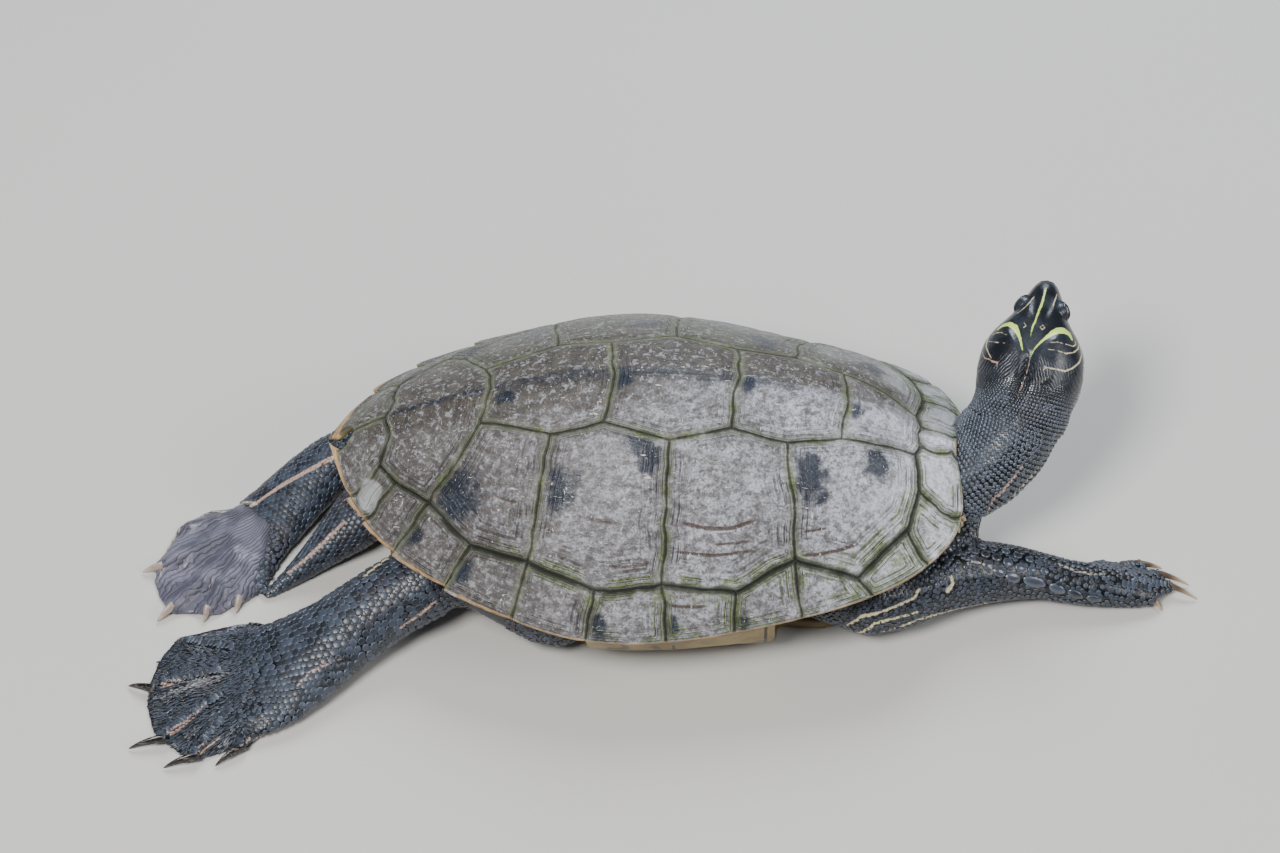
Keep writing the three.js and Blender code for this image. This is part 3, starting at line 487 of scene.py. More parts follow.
# creases of the old horn: depth in mm, then along and across
creases = [
    (0.3, [(0.59, -0.61), (0.571, -0.625), (0.539, -0.632)]),
    (0.55, [(0.487, -0.629), (0.475, -0.639), (0.457, -0.654), (0.437, -0.655), (0.423, -0.639),
            (0.412, -0.628)]),
    (0.35, [(0.456, -0.707), (0.443, -0.71), (0.429, -0.71), (0.416, -0.705)]),
    (0.45, [(0.496, -0.721), (0.473, -0.737), (0.451, -0.748), (0.429, -0.744), (0.411, -0.74)]),
    (0.2, [(0.562, -0.721), (0.543, -0.721), (0.526, -0.718)]),
    (0.4, [(0.559, -0.773), (0.537, -0.775), (0.519, -0.768), (0.511, -0.761)]),
    (0.35, [(0.372, -0.686), (0.357, -0.681), (0.341, -0.677)]), (0.25, [(0.373, -0.715), (0.357, -0.711)]),
    (0.45, [(0.374, -0.772), (0.357, -0.78), (0.33, -0.773), (0.304, -0.755)]),
    (0.45, [(0.495, -0.888), (0.472, -0.9), (0.454, -0.903)]),
    (0.3, [(0.686, -0.55), (0.669, -0.57), (0.65, -0.578)]),
    (0.18, [(0.477, -0.449), (0.455, -0.437), (0.427, -0.454)]),
    (0.15, [(0.486, -0.505), (0.465, -0.495), (0.44, -0.506)]),
    (0.15, [(0.368, -0.534), (0.344, -0.523), (0.322, -0.499)]),
]


def creaseAt(points):
    # depth of the creases, shallower to their ends
    total = np.zeros(len(points))
    for depth, line in creases:
        path = shellPoint(*curveThrough(np.array(line), np.linspace(0, 1, 25)).T)
        near = np.abs(points - path.mean(axis=0)).max(axis=1) < 30
        if near.any():
            gap, share = lineDistance(points[near], path)
            taper = np.clip(np.minimum(share, 1 - share) * 5, 0.12, 1)
            total[near] = np.maximum(total[near], depth * taper * np.exp(-(gap / 0.6) ** 2))
    return total


def smudgeAt(points):
    total = np.zeros(len(points))
    ragged = softNoise(points, 4.6, 4) * 0.5 + softNoise(points, 2.2, 5) * 0.3
    ragged += softNoise(points, 1, 6) * 0.15
    for along, across, radius in smudges:
        spot = shellPoint(np.array([along]), np.array([across]))[0]
        away = np.linalg.norm((points - spot) * (1, 1, 0.6), axis=1) / radius / 1.2
        total = np.maximum(total, 1 - step(0.3, 1.15, away + ragged * 0.75))
    return total


# relief of the horn in mm: growth rings as distance from the seam and depth, waves as size and height
hornMake = dict(
    rings=((2.0, 0.14), (3.0, 0.22), (4.1, 0.26), (5.4, 0.24), (7.0, 0.2), (8.8, 0.16), (11, 0.14)),
    ringWidth=0.45, waves=((16, 0.35), (5, 0.14)), seamDepth=0.32, seamWidth=0.7, banks=0.3, ledge=0.3,
    lip=0.6, lipWidth=1.4, sawFrom=8, saw=1.3, sawSlant=0.4, lastSlant=1.0,
    chalk=(0.855, -0.756), chalkSize=(4.6, 5.6),  # pale patch: place, inner and outer edge
)


def plateBlank(name, columns, rows):
    # flat sheet with a floor, to be laid on the shell's surface
    deselectAll()
    bpy.ops.mesh.primitive_grid_add(x_subdivisions=rows, y_subdivisions=columns, size=1)
    piece = bpy.context.object
    piece.name = f"shell_{name}"
    bpy.ops.object.mode_set(mode="EDIT")
    bpy.ops.mesh.select_all(action="SELECT")
    bpy.ops.mesh.extrude_region_move(TRANSFORM_OT_translate={"value": (0, 0, 1)})
    bpy.ops.mesh.select_all(action="SELECT")
    bpy.ops.mesh.normals_make_consistent(inside=False)
    bpy.ops.object.mode_set(mode="OBJECT")
    return piece


def borderDistances(points, edges):
    # distance in mm to each of the four edges
    fine = np.linspace(0, 1, 61)
    ends = {"front": (fine, 0 * fine), "rear": (fine, 0 * fine + 1),
            "left": (0 * fine, fine), "right": (0 * fine + 1, fine)}
    border = {}
    for side, (u, v) in ends.items():
        s, t = swayed(insidePlate(edges, u, v))
        border[side] = lineDistance(points, shellPoint(np.clip(s, 0, 1), np.clip(t, -1, 1)))[0]
    return border


def plateDistances(name, border):
    # distance to the free rim, the seams and the ledge, and the one that growth rings follow
    outer = "left" if "left" in name else "right"
    inner = "right" if outer == "left" else "left"
    far = np.full(len(border["front"]), 99.0)
    free = ledge = far
    front, rear = border["front"], border["rear"]
    if "marginal" in name:
        free, ledge = border[outer], border[inner]
        seams = [front, rear, border[inner]]
        rings = [front, rear * 1.7, border[inner] * 2, free * 1.2]
    elif "costal" in name:
        ledge = border[outer]
        seams = list(border.values())
        rings = [front * 1.05, rear * 1.35, border[inner] * 2.4, border[outer] * 0.85]
    elif name == "nuchal":
        free = front
        seams = [rear, border["left"], border["right"]]
        rings = [free, border["left"] * 1.2, border["right"] * 1.2, rear * 2]
    else:
        seams = list(border.values())
        rings = [front, rear * 1.6, border["left"] * 1.5, border["right"] * 1.5]
    return free, np.minimum.reduce(seams), ledge, np.minimum.reduce(rings)


def reliefOf(points, s, free, seam, ledge, rings, crease):
    relief = 0
    for seed, (size, height) in enumerate(hornMake["waves"], 7):
        relief = relief + softNoise(points, size, seed) * height
    relief = relief * step(1, 4, np.minimum(seam, free))
    relief -= hornMake["seamDepth"] * np.exp(-(seam / hornMake["seamWidth"]) ** 2)
    relief -= hornMake["banks"] * (1 - step(0.9, 3.2, seam))
    bend = rings + 0.7 * softNoise(points, 6, 9)
    for ring, depth in hornMake["rings"]:
        worn = 0.6 + 1.2 * softNoise(points, 14, ring)
        relief -= depth * np.clip(worn, 0.1, 1.4) * np.exp(-((bend - ring) / hornMake["ringWidth"]) ** 2)
    relief -= crease
    relief -= hornMake["ledge"] * np.exp(-(ledge / 1.1) ** 2)
    keel = shell["keelHeight"] * np.clip(1 - np.abs(points[:, 1]) / shell["keelWidth"], 0, 1)
    relief += keel * step(0.17, 0.26, s) * step(0, 0.12, 0.97 - s)
    return relief - hornMake["lip"] * np.clip(1 - free / hornMake["lipWidth"], 0, 1) ** 2


def chalkAt(points):
    along, across = hornMake["chalk"]
    middle = shellPoint(np.array([along]), np.array([across]))[0]
    away = np.linalg.norm((points - middle) * (1, 0.8, 1), axis=1) + 1.6 * softNoise(points, 4, 3)
    return 1 - step(*hornMake["chalkSize"], away)


def mossAt(s, out, ledge, rings):
    # wet places: the front, the lower flanks and the ledge over the marginals
    moss = step(0.4, 0.24, s) * step(0.3, 0.55, out) * step(12, 5, rings) + 0.5 * step(0.16, 0.08, s)
    moss += 0.6 * step(0.75, 0.9, out) * step(0.7, 0.5, s)
    moss += 0.9 * step(7, 3, ledge) * step(0.75, 0.6, s)
    return np.clip(moss, 0, 1)


def buildPlate(name, edges):
    tries = np.linspace(0, 1, 9)
    sizes = []
    for edge in edges:
        line = shellPoint(*onEdge(edge, tries).T)
        sizes.append(np.linalg.norm(np.diff(line, axis=0), axis=1).sum())
    columns = max(6, int(max(sizes[:2]) / shell["quad"]))
    rows = max(6, int(max(sizes[2:]) / shell["quad"]))
    piece = plateBlank(name, columns, rows)
    flat = placesOf(piece) * mm
    isTop = flat[:, 2] > 0.5
    slack = [min(0.4, shell["gap"] / max(size, 1)) for size in (min(sizes[:2]), min(sizes[2:]))]
    u, v = 0.5 - flat[:, 1], 0.5 - flat[:, 0]
    spots = insidePlate(edges, slack[0] + u * (1 - 2 * slack[0]), slack[1] + v * (1 - 2 * slack[1]))
    s, t = swayed(spots)
    s, t = np.clip(s, 0, 1), np.clip(t, -1, 1)
    out = np.abs(t)
    points, normals = shellPoint(s, t), shellNormal(s, t)
    number = int(name.split("_")[-1]) if "marginal" in name else 0
    if number > hornMake["sawFrom"]:
        # the rear rim is stepped: each plate sticks out at its rear corner
        slant = hornMake["sawSlant"] if number < 12 else hornMake["lastSlant"]
        outward = np.stack([0 * s - slant, np.sign(t) * (number < 13), 0 * s], axis=1)
        points = points + outward * (hornMake["saw"] * v * step(0.84, 1, out))[:, None]
    free, seam, ledge, rings = plateDistances(name, borderDistances(points, edges))
    crease = creaseAt(points)
    relief = reliefOf(points, s, free, seam, ledge, rings, crease)
    thick = shell["thickness"] + (shell["rimThickness"] - shell["thickness"]) * step(0.8, 1, out)
    below = points - normals * thick[:, None]
    setPlaces(piece, np.where(isTop[:, None], points + normals * relief[:, None], below))
    marks = dict(seamMm=seam, rimMm=free, ringMm=rings, along=s, across=out, crease=crease, ledge=ledge,
                 hand=t + 0.02 * softNoise(points, 9, 21), rear=0 * s + np.clip(number - 7, 0, 4) / 4,
                 smudge=smudgeAt(points), chalk=chalkAt(points), edging=0 * s + 0.75 * ("marginal" in name),
                 under=~isTop, moss=mossAt(s, out, ledge, rings))
    for key, values in marks.items():
        setMark(piece, key, values)
    shadeSmooth(piece)
    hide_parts(name)
    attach(piece, "root")
    return piece


plates = {name: buildPlate(name, edges) for name, edges in plateOutlines().items()}
print("shell plates:", len(plates))


# Finish of the shell

def algaeGroup():
    # green film and fine green lines where water stands
    tree, given, out = effectGroup("algae", [("Where", "Float", 0.0), ("Amount", "Float", 1.0)],
                                   [("Mask", "Float"), ("Color", "Color")])
    patches = grain(tree, 0.16, 5, rough=0.65)
    fine = grain(tree, 0.75, 3)
    level = times(tree, given["Where"], given["Amount"])
    total = plus(tree, plus(tree, patches, times(tree, fine, 0.35)), -0.86)
    total = plus(tree, total, times(tree, level, 0.62))
    tree.links.new(window(tree, total, 0.12, 0.26), out["Mask"])
    tree.links.new(blend(tree, window(tree, fine, 0.35, 0.65), tint(66, 82, 40), tint(134, 150, 88)),
                   out["Color"])
    return tree


def scratchGroup():
    # pale flecks and hair scratches of a worn surface
    tree, given, out = effectGroup("scratches", [("Amount", "Float", 0.5)], [("Mask", "Float")])
    flecks = window(tree, grain(tree, 0.62, 3, rough=0.7, distort=0.5), 0.672, 0.7)
    long = window(tree, grain(tree, 0.8, 2, stretch=(0.3, 1.5, 1), distort=1.0), 0.685, 0.72)
    across = window(tree, grain(tree, 0.8, 2, stretch=(1.4, 0.35, 0.5), distort=1.2), 0.69, 0.73)
    where = window(tree, grain(tree, 0.06, 2), 0.3, 0.55)
    both = calc(tree, "MAXIMUM", calc(tree, "MAXIMUM", flecks, long), across)
    both = times(tree, both, where)
    tree.links.new(calc(tree, "MULTIPLY", both, given["Amount"], clamp=True), out["Mask"])
    return tree


def ringGroup():
    # growth lines that run along the seams of a plate
    tree, given, out = effectGroup("growthRings", [("Distance", "Float", 5.0), ("Amount", "Float", 1.0)],
                                   [("Line", "Float"), ("Height", "Float")])
    bend = times(tree, minus(tree, grain(tree, 0.12, 3), 0.5), 2.2)
    root = calc(tree, "SQRT", calc(tree, "MAXIMUM", given["Distance"], 0.01))
    wave = calc(tree, "SINE", plus(tree, times(tree, root, 11.0), bend))
    second = calc(tree, "SINE", plus(tree, times(tree, root, 27.0), times(tree, bend, 2)))
    near = window(tree, given["Distance"], 15.0, 3.5)
    worn = window(tree, grain(tree, 0.09, 3), 0.36, 0.56)
    level = times(tree, times(tree, near, worn), given["Amount"])
    line = calc(tree, "MAXIMUM", window(tree, wave, 0.35, 0.98),
                times(tree, window(tree, second, 0.4, 1.0), 0.6))
    tree.links.new(times(tree, line, level), out["Line"])
    mixed = plus(tree, wave, times(tree, second, 0.5))
    tree.links.new(times(tree, mixed, level), out["Height"])
    return tree


algae, scratches, growthRings = algaeGroup(), scratchGroup(), ringGroup()

# the crease tone darkens the horn's creases as painted shade; back is the horn's brown, also used as painted
# shade on the far side of the keel
horn = dict(back=tint(58, 52, 45), backPale=tint(94, 88, 78), moss=tint(84, 94, 66),
            rearTone=tint(92, 87, 86), rearPale=tint(134, 131, 131), frontTone=tint(134, 133, 138),
            frontPale=tint(204, 207, 218), noseTone=tint(226, 228, 238), smudge=tint(34, 42, 56),
            seam=tint(74, 74, 64), ledge=tint(58, 60, 56), band=tint(122, 126, 104), rim=tint(204, 168, 122),
            ring=tint(58, 52, 48), fleck=tint(226, 224, 220), crease=tint(74, 56, 46),
            chalk=tint(176, 178, 178), under=tint(150, 134, 92))


def hornMaterial():
    made, tree, shader = newMaterial("carapaceHorn", Specular_IOR_Level=0.3)
    seam, rim, ring, ledge = marks(tree, "seamMm rimMm ringMm ledge")
    along, across, hand, rear = marks(tree, "along across hand rear")
    smudge, moss, crease, chalk = marks(tree, "smudge moss crease chalk")
    edging, under = marks(tree, "edging under")
    cloud = grain(tree, 0.045, 5, rough=0.6)
    mottle = grain(tree, 0.22, 5, rough=0.68)
    streak = grain(tree, 0.5, 4, stretch=(0.28, 1, 1), rough=0.7, distort=0.4)
    blot = grain(tree, 0.42, 5, rough=0.75, distort=0.3)
    fine = grain(tree, 1.3, 3)
    mixed = plus(tree, times(tree, cloud, 0.45), times(tree, mottle, 0.3))
    spread = window(tree, plus(tree, mixed, times(tree, streak, 0.25)), 0.42, 0.6)
    # grey brown to the rear, lavender grey to the front, palest at the nose
    grey = blend(tree, spread, horn["rearTone"], horn["rearPale"])
    lavender = blend(tree, spread, horn["frontTone"], horn["frontPale"])
    brown = blend(tree, window(tree, mottle, 0.4, 0.62), horn["back"], horn["backPale"])
    where = shaken(tree, along, cloud, 0.5)
    nose = times(tree, window(tree, where, 0.38, 0.14, 0, 0.85), window(tree, mottle, 0.36, 0.5, 0.5, 1))
    # brown on the vertebrals of the rear and on the far side of the keel, where a green film begins lower
    # down; on the far side the brown is partly the horn's own tone and partly painted shade, darker than the
    # near side
    strip = times(tree, window(tree, across, 0.27, 0.12), window(tree, where, 0.4, 0.56, 0, 0.75))
    farBrownAndShade = plus(tree, hand, times(tree, minus(tree, along, 0.42), 0.25))
    farBrownAndShade = times(tree, window(tree, farBrownAndShade, -0.05, 0.03), window(tree, along, 0.15, 0.24, 0.7, 1))
    farBrownAndShade = times(tree, farBrownAndShade, window(tree, hand, 0.9, 0.3, 0.6, 1))
    film = times(tree, window(tree, hand, 0.12, 0.4), window(tree, cloud, 0.62, 0.45))
    # growth rings; the marginals have theirs close to the edges only
    inner = minus(tree, 1.0, edging)
    amount = times(tree, window(tree, across, 0.08, 0.55, 0.45, 1), window(tree, ring, 4.5, 8, 1, inner))
    lines = place(tree, growthRings, Distance=ring, Amount=amount)
    # dark keel line, dark patches, flecks and scratches
    keel = window(tree, calc(tree, "ABSOLUTE", plus(tree, hand, 0.01)), 0.05, 0.0)
    keel = times(tree, keel, window(tree, along, 0.3, 0.45))
    keel = times(tree, keel, window(tree, streak, 0.35, 0.6, 0.2, 0.8))
    dark = times(tree, window(tree, shaken(tree, smudge, streak, 1.3), 0.05, 0.95), 0.9)
    wear = place(tree, scratches, Amount=1.0)
    # seams with a band of new horn and algae along them
    shaky = shaken(tree, seam, mottle, 2.4)
    edge = window(tree, grain(tree, 0.08, 3), 0.42, 0.62, 0.02, 0.56)
    edge = times(tree, window(tree, shaky, 3.0, 0.6), edge)
    wet = times(tree, moss, plus(tree, 0.42, lines["Line"]))
    growth = place(tree, algae, Where=calc(tree, "MAXIMUM", edge, wet), Amount=1.0)
    riser = shaken(tree, ledge, mottle, 2.0)
    # pale rim, wider to the rear
    brim = plus(tree, rim, times(tree, mottle, 1.6))
    lip = window(tree, brim, plus(tree, 1.75, rear), 1.1, 0, 0.9)
    pale = times(tree, chalk, window(tree, mottle, 0.3, 0.5, 0.6, 1))
    underside = blend(tree, window(tree, mottle, 0.52, 0.62), horn["under"], horn["smudge"])
    color = layered(
        tree, grey, (window(tree, where, 0.74, 0.4), lavender), (nose, horn["noseTone"]), (strip, brown),
        # brown on the far side of the keel: partly the horn's own tone, partly painted shade
        (farBrownAndShade, brown), (times(tree, film, 0.4), horn["moss"]),
        (times(tree, window(tree, blot, 0.51, 0.42), 0.7), horn["rearTone"]),
        (times(tree, window(tree, blot, 0.53, 0.6), 0.45), horn["frontPale"]),
        (times(tree, window(tree, fine, 0.42, 0.68), 0.5), horn["ring"]),
        (times(tree, nose, 0.5), horn["noseTone"]), (times(tree, lines["Line"], 0.9), horn["ring"]),
        # the creases are darkened: painted shade
        (window(tree, crease, 0.06, 0.3, 0, 0.85), horn["crease"]), (keel, horn["smudge"]),
        (dark, horn["smudge"]), (wear["Mask"], horn["fleck"]),
        (times(tree, window(tree, shaky, 2.6, 1.2), 0.5), horn["band"]),
        (times(tree, growth["Mask"], 0.7), growth["Color"]),
        (window(tree, shaky, 0.85, 0.25, 0, 0.75), horn["seam"]),
        (window(tree, riser, 1.9, 0.9, 0, 0.8), horn["ledge"]), (lip, horn["rim"]), (pale, horn["chalk"]),
        (under, underside))
    tree.links.new(color, shader.inputs["Base Color"])
    rough = plus(tree, 0.2, times(tree, mottle, 0.32))
    rough = plus(tree, rough, times(tree, growth["Mask"], 0.2))
    rough = minus(tree, rough, times(tree, dark, 0.1))
    tree.links.new(rough, shader.inputs["Roughness"])
    height = times(tree, lines["Height"], 0.9)
    height = plus(tree, height, times(tree, streak, 1.4))
    height = plus(tree, height, times(tree, fine, 0.5))
    height = plus(tree, height, times(tree, wear["Mask"], -0.3))
    tree.links.new(bumpOf(tree, height, 1.0, 0.0003), shader.inputs["Normal"])
    return made


shellHorn = hornMaterial()
for piece in plates.values():
    dress(piece, shellHorn)
print("shell finish is on")


# One skin over the trunk, neck, head, legs and tail. Each limb has a line of stations
# ((x, y, z), half width, half height) from inside the body to its end.

limbs = {
    "neck": [((98, -2, 35), 16.6, 12.6), ((110.7, -0.5, 38.2), 16.6, 13.6), ((121.4, 3.8, 44.7), 16.4, 14.6),
        ((129.1, 10.3, 52.4), 16, 13.8), ((132.9, 18.5, 59), 16.4, 13)],
    "foreleg_right": [((74, -36, 17.5), 17, 14.5), ((92, -33.8, 14.5), 13, 13), ((104, -27.4, 15), 13, 13),
        ((116, -23, 13), 12, 11.6), ((128, -20.6, 11.2), 10.4, 10.2), ((140, -19.7, 9.2), 8.2, 8),
        ((150, -20.6, 7.8), 7.6, 7.4), ((160, -21, 6.6), 7.8, 6.8), ((171, -20, 4.7), 7.8, 5.2)],
    "foreleg_left": [((56, 24, 22), 12, 12), ((64, 38, 18), 13, 12.5), ((66, 51, 13), 10.5, 11.5),
        ((73, 59.5, 9), 8.8, 9.2), ((80, 61.5, 6.8), 8, 7.2), ((88, 62.6, 4.7), 8.6, 5.2)],
    "hindleg_right": [((-54, -26, 25), 12, 12), ((-72, -40, 21), 14, 13.5), ((-90, -50, 15.5), 13.4, 13.4),
        ((-104, -60.5, 11.2), 14.6, 11.4), ((-116, -69, 8.2), 18, 8.6), ((-126, -75, 5.6), 21.5, 6.2),
        ((-137, -79, 3.4), 24, 4.2)],
    "hindleg_left": [((-54, 26, 25), 12, 12), ((-76, 28, 19), 13, 12), ((-96, 25, 13.4), 11.2, 11.4),
        ((-114.6, 17.6, 9.8), 10.4, 10), ((-123.4, 9.2, 7.8), 11.4, 8.2), ((-132.2, -1.6, 5.6), 12.8, 6.2),
        ((-140.8, -11.6, 3.4), 14.8, 4.2)],
    "tail": [((-80, 0, 24), 11, 10), ((-96, -5, 17), 11, 10), ((-105, -11.5, 11.5), 10.4, 9),
        ((-113, -18.5, 7.6), 7, 6.8), ((-121, -26, 4.6), 4.4, 4.8), ((-128, -32.6, 2.6), 2.6, 2.9),
        ((-134.4, -38.2, 1.1), 1.2, 1.2)],
}
# toes: root, tip and end of the claw, if there is one
toes = {
    "forefoot_right": [
        ((156, -14, 5), (165, -9.6, 3.6), (171, -7.6, 0.7)),
        ((166, -13, 5), (178, -8.8, 3.6), (185, -8, 0.7)),
        ((172, -16, 4.5), (184.8, -12.6, 3), (194.5, -14.9, 0.7)),
        ((174, -19, 4.5), (188.4, -17.8, 3), (197.3, -21, 0.7)),
        ((170, -22.5, 4), (181, -21.6, 3), (184.9, -27, 0.7)),
    ],
    "forefoot_left": [
        ((84, 57, 4.5), (94, 54.6, 2.9), (99, 53, 0.7)),
        ((87, 60, 4.5), (99, 58.6, 2.9), (105, 58, 0.7)),
        ((88, 63, 4.5), (101, 62.8, 2.9), (107, 63, 0.7)),
        ((87, 65, 4.5), (99.4, 67.2, 2.9), (105, 68.4, 0.7)),
        ((85, 67, 4), (95, 71, 2.7), (99.5, 73.4, 0.7)),
    ],
    "hindfoot_right": [
        ((-137, -66, 3.6), (-160, -60.6, 1.6), None),
        ((-138, -73, 4.2), (-169.4, -81.6, 2.3), (-178, -79.6, 0.7)),
        ((-138, -80, 4.4), (-162.4, -102.8, 2.3), (-174, -106.2, 0.7)),
        ((-136, -86, 4.4), (-150.8, -109.8, 2.3), (-160.8, -113.6, 0.7)),
        ((-130, -90, 4), (-135.2, -105.2, 2.3), (-143, -111.8, 0.7)),
    ],
    "hindfoot_left": [
        ((-147, -4, 3.6), (-166, -9, 1.6), None),
        ((-149, -12, 4.2), (-174.6, -28.4, 2.3), (-182, -30, 0.7)),
        ((-147, -20, 4.4), (-168, -47, 2.3), (-173.2, -52.6, 0.7)),
        ((-145, -24, 4.4), (-154.4, -47.4, 2.3), (-155.4, -51.6, 0.7)),
        ((-141, -25, 4), (-143.6, -42.4, 2.3), (-144.4, -47.2, 0.7)),
    ],
}

# The head's own frame: x from the neck to the snout, y to its left, z up
head = dict(
    base=(132.9, 18.5, 59), turn=80, rise=30, length=44, power=0.85, jawPower=0.9,
    # share of the length, half width, height and depth
    stations=[(-0.2, 15.4, 12.4, 12.4), (-0.1, 16, 13, 12.9), (0, 16.6, 13.2, 13.1), (0.1, 17.9, 13.6, 13.4),
              (0.25, 18.6, 13.7, 13), (0.41, 17.7, 13.2, 12.2), (0.54, 15, 12.3, 11.4),
              (0.65, 11.3, 11.3, 10.6), (0.75, 8.4, 10, 9.8), (0.85, 6.5, 8.3, 8.8), (0.93, 4.8, 6.4, 7.2),
              (0.985, 3, 4.4, 5.2), (1, 1.2, 2.3, 3)],
    rings=70, sides=72,
    eye=(33.1, 6.0, 3.7), eyeRadius=3.2, lid=0.75,
    gaze=(0.42, 0.88, 0.22), opening=(48, 27),  # half angles of the lid opening, lengthwise and upwards
    nostril=(43.1, 1.25, 2.4), mouth=-3.4, mouthBack=20.7, eardrum=(13, 17.6, -1.5),
)
turnHead = (Matrix.Translation(head["base"]) @ Matrix.Rotation(math.radians(head["turn"]), 4, "Z")
            @ Matrix.Rotation(-math.radians(head["rise"]), 4, "Y"))
headTurn = np.array(turnHead)[:3, :3]
headBase = np.array(head["base"])


def fromHead(places):
    return np.asarray(places, float) @ headTurn.T + headBase


def toHead(places):
    return (np.asarray(places, float) - headBase) @ headTurn


def tubeOf(name, rings):
    # closed tube through rings of equal length, made from a grid
    count, size = len(rings), len(rings[0])
    deselectAll()
    bpy.ops.mesh.primitive_grid_add(x_subdivisions=count - 1, y_subdivisions=size, size=1)
    piece = bpy.context.object
    piece.name = name
    flat = placesOf(piece) * mm
    row = np.rint((flat[:, 0] + 0.5) * (count - 1)).astype(int)
    column = np.rint((flat[:, 1] + 0.5) * size).astype(int) % size
    setPlaces(piece, np.asarray(rings)[row, column])
    bpy.ops.object.mode_set(mode="EDIT")
    bpy.ops.mesh.select_mode(type="VERT")
    bpy.ops.mesh.select_all(action="SELECT")
    bpy.ops.mesh.remove_doubles(threshold=0.000002)
    bpy.ops.mesh.select_all(action="DESELECT")
    bpy.ops.mesh.select_non_manifold()
    bpy.ops.mesh.edge_face_add()
    bpy.ops.mesh.select_all(action="SELECT")
    bpy.ops.mesh.normals_make_consistent(inside=False)
    bpy.ops.object.mode_set(mode="OBJECT")
    return piece


def headRings():
    sides = head["sides"]
    table = curveThrough(head["stations"], np.linspace(0, 1, head["rings"]))
    angle = (np.arange(sides) + 0.5) / sides * 2 * math.pi
    c, s = np.cos(angle), np.sin(angle)
    rings = []
    for share, wide, up, down in table:
        across = np.sign(c) * np.abs(c) ** head["power"] * wide
        height = np.where(s > 0, np.abs(s) ** head["power"] * up, -np.abs(s) ** head["jawPower"] * down)
        rings.append(fromHead(np.stack([np.full(sides, share * head["length"]), across, height], axis=1)))
    return rings


def copyOf(name):
    piece = nodes[name].copy()
    piece.data = nodes[name].data.copy()
    piece.parent = None
    piece.name = f"flesh_{name}"
    for key in list(piece.keys()):
        del piece[key]
    bpy.context.collection.objects.link(piece)
    piece.hide_render = piece.hide_viewport = False
    pick(piece)
    bpy.ops.object.mode_set(mode="EDIT")
    bpy.ops.mesh.select_all(action="SELECT")
    bpy.ops.mesh.remove_doubles(threshold=0.00001)
    bpy.ops.object.mode_set(mode="OBJECT")
    return piece


skinMake = dict(swell=0.28, voxel=1.3, relax=7, clawWidth=2.2, clawRoot=0.6,
                hidden=(75, 48), kept=0.12,  # inside the shell the skin needs few faces
                refined=(-6, 22, 18), refinedTwice=(22, 8))  # head, then its front and top


def dropClaws(piece, name):
    # draws the solid's claws back into the toe tips; they are made apart
    places = placesOf(piece)
    for _, tip, end in toes.get(name, []):
        if end is None:
            continue
        tip, end = np.array(tip), np.array(end)
        run = end - tip
        size = np.linalg.norm(run)
        along = (places - tip) @ run / size
        away = np.linalg.norm(places - tip - along[:, None] * run / size, axis=1)
        out = (away < skinMake["clawWidth"]) & (along > skinMake["clawRoot"])
        places[out] -= (along[out] - skinMake["clawRoot"])[:, None] * run / size
    setPlaces(piece, places)


flesh = ["trunk", "neck", "foreleg_right", "forefoot_right", "foreleg_left", "forefoot_left",
         "hindleg_right", "hindfoot_right", "hindleg_left", "hindfoot_left", "tail"]


def weld(parts, name, voxel, rounds):
    # one closed surface round parts that overlap, then relaxed
    pick(*parts)
    bpy.ops.object.join()
    piece = bpy.context.object
    piece.name = name
    piece.data.materials.clear()
    shape = piece.modifiers.new("weld", "REMESH")
    shape.mode = "VOXEL"
    shape.voxel_size = voxel * mm
    bpy.ops.object.modifier_apply(modifier="weld")
    relax = piece.modifiers.new("relax", "SMOOTH")
    relax.factor = 0.5
    relax.iterations = rounds
    bpy.ops.object.modifier_apply(modifier="relax")
    return piece


def joinFlesh():
    parts = [tubeOf("skin", headRings())]
    for name in flesh:
        part = copyOf(name)
        dropClaws(part, name)
        setPlaces(part, placesOf(part) + normalsOf(part) * skinMake["swell"])
        parts.append(part)
    return weld(parts, "skin", skinMake["voxel"], skinMake["relax"])


def chooseFaces(piece, chosen):
    pick(piece)
    bpy.ops.object.mode_set(mode="EDIT")
    bpy.ops.mesh.select_all(action="DESELECT")
    bpy.ops.mesh.select_mode(type="VERT")
    bpy.ops.object.mode_set(mode="OBJECT")
    piece.data.vertices.foreach_set("select", chosen)
    bpy.ops.object.mode_set(mode="EDIT")
    bpy.ops.mesh.select_mode(type="FACE")


def refine(piece, chosen):
    # cuts the faces of chosen vertices in four
    chooseFaces(piece, chosen)
    bpy.ops.mesh.subdivide(number_cuts=1, smoothness=0.6)
    bpy.ops.object.mode_set(mode="OBJECT")


def thin(piece, chosen, share):
    chooseFaces(piece, chosen)
    bpy.ops.mesh.decimate(ratio=share)
    bpy.ops.object.mode_set(mode="OBJECT")


skin = joinFlesh()
x, y, z = placesOf(skin).T
deepX, deepY = skinMake["hidden"]
thin(skin, (x / deepX) ** 2 + (y / deepY) ** 2 < 1, skinMake["kept"])
back, wide, tall = skinMake["refined"]
x, y, z = toHead(placesOf(skin)).T
refine(skin, (x > back) & (np.abs(y) < wide) & (np.abs(z) < tall))
front, brow = skinMake["refinedTwice"]
x, y, z = toHead(placesOf(skin)).T
refine(skin, (np.abs(y) < wide) & (np.abs(z) < tall) & ((x > front) | ((x > brow) & (z > 0))))
print("skin:", len(skin.data.polygons), "faces")


# how far the forms of the head stand out or sink in, in mm
face = dict(
    muscle=1.35, furrow=1.7, temple=0.5, nape=3.0, brow=0.5, snout=0.45, earRim=0.45, ear=0.25, earRadius=4.6,
    mouth=0.75, lip=0.25, beak=1.1, nostril=1.3, nostrilRim=0.18,
    lidEdge=0.25, lidFolds=0.2, lidDitch=0.16, lidJoin=1.0, eyeInset=0.7,
    reach=(-22, 24, 20),  # where the head is: x from, and y and z within
)


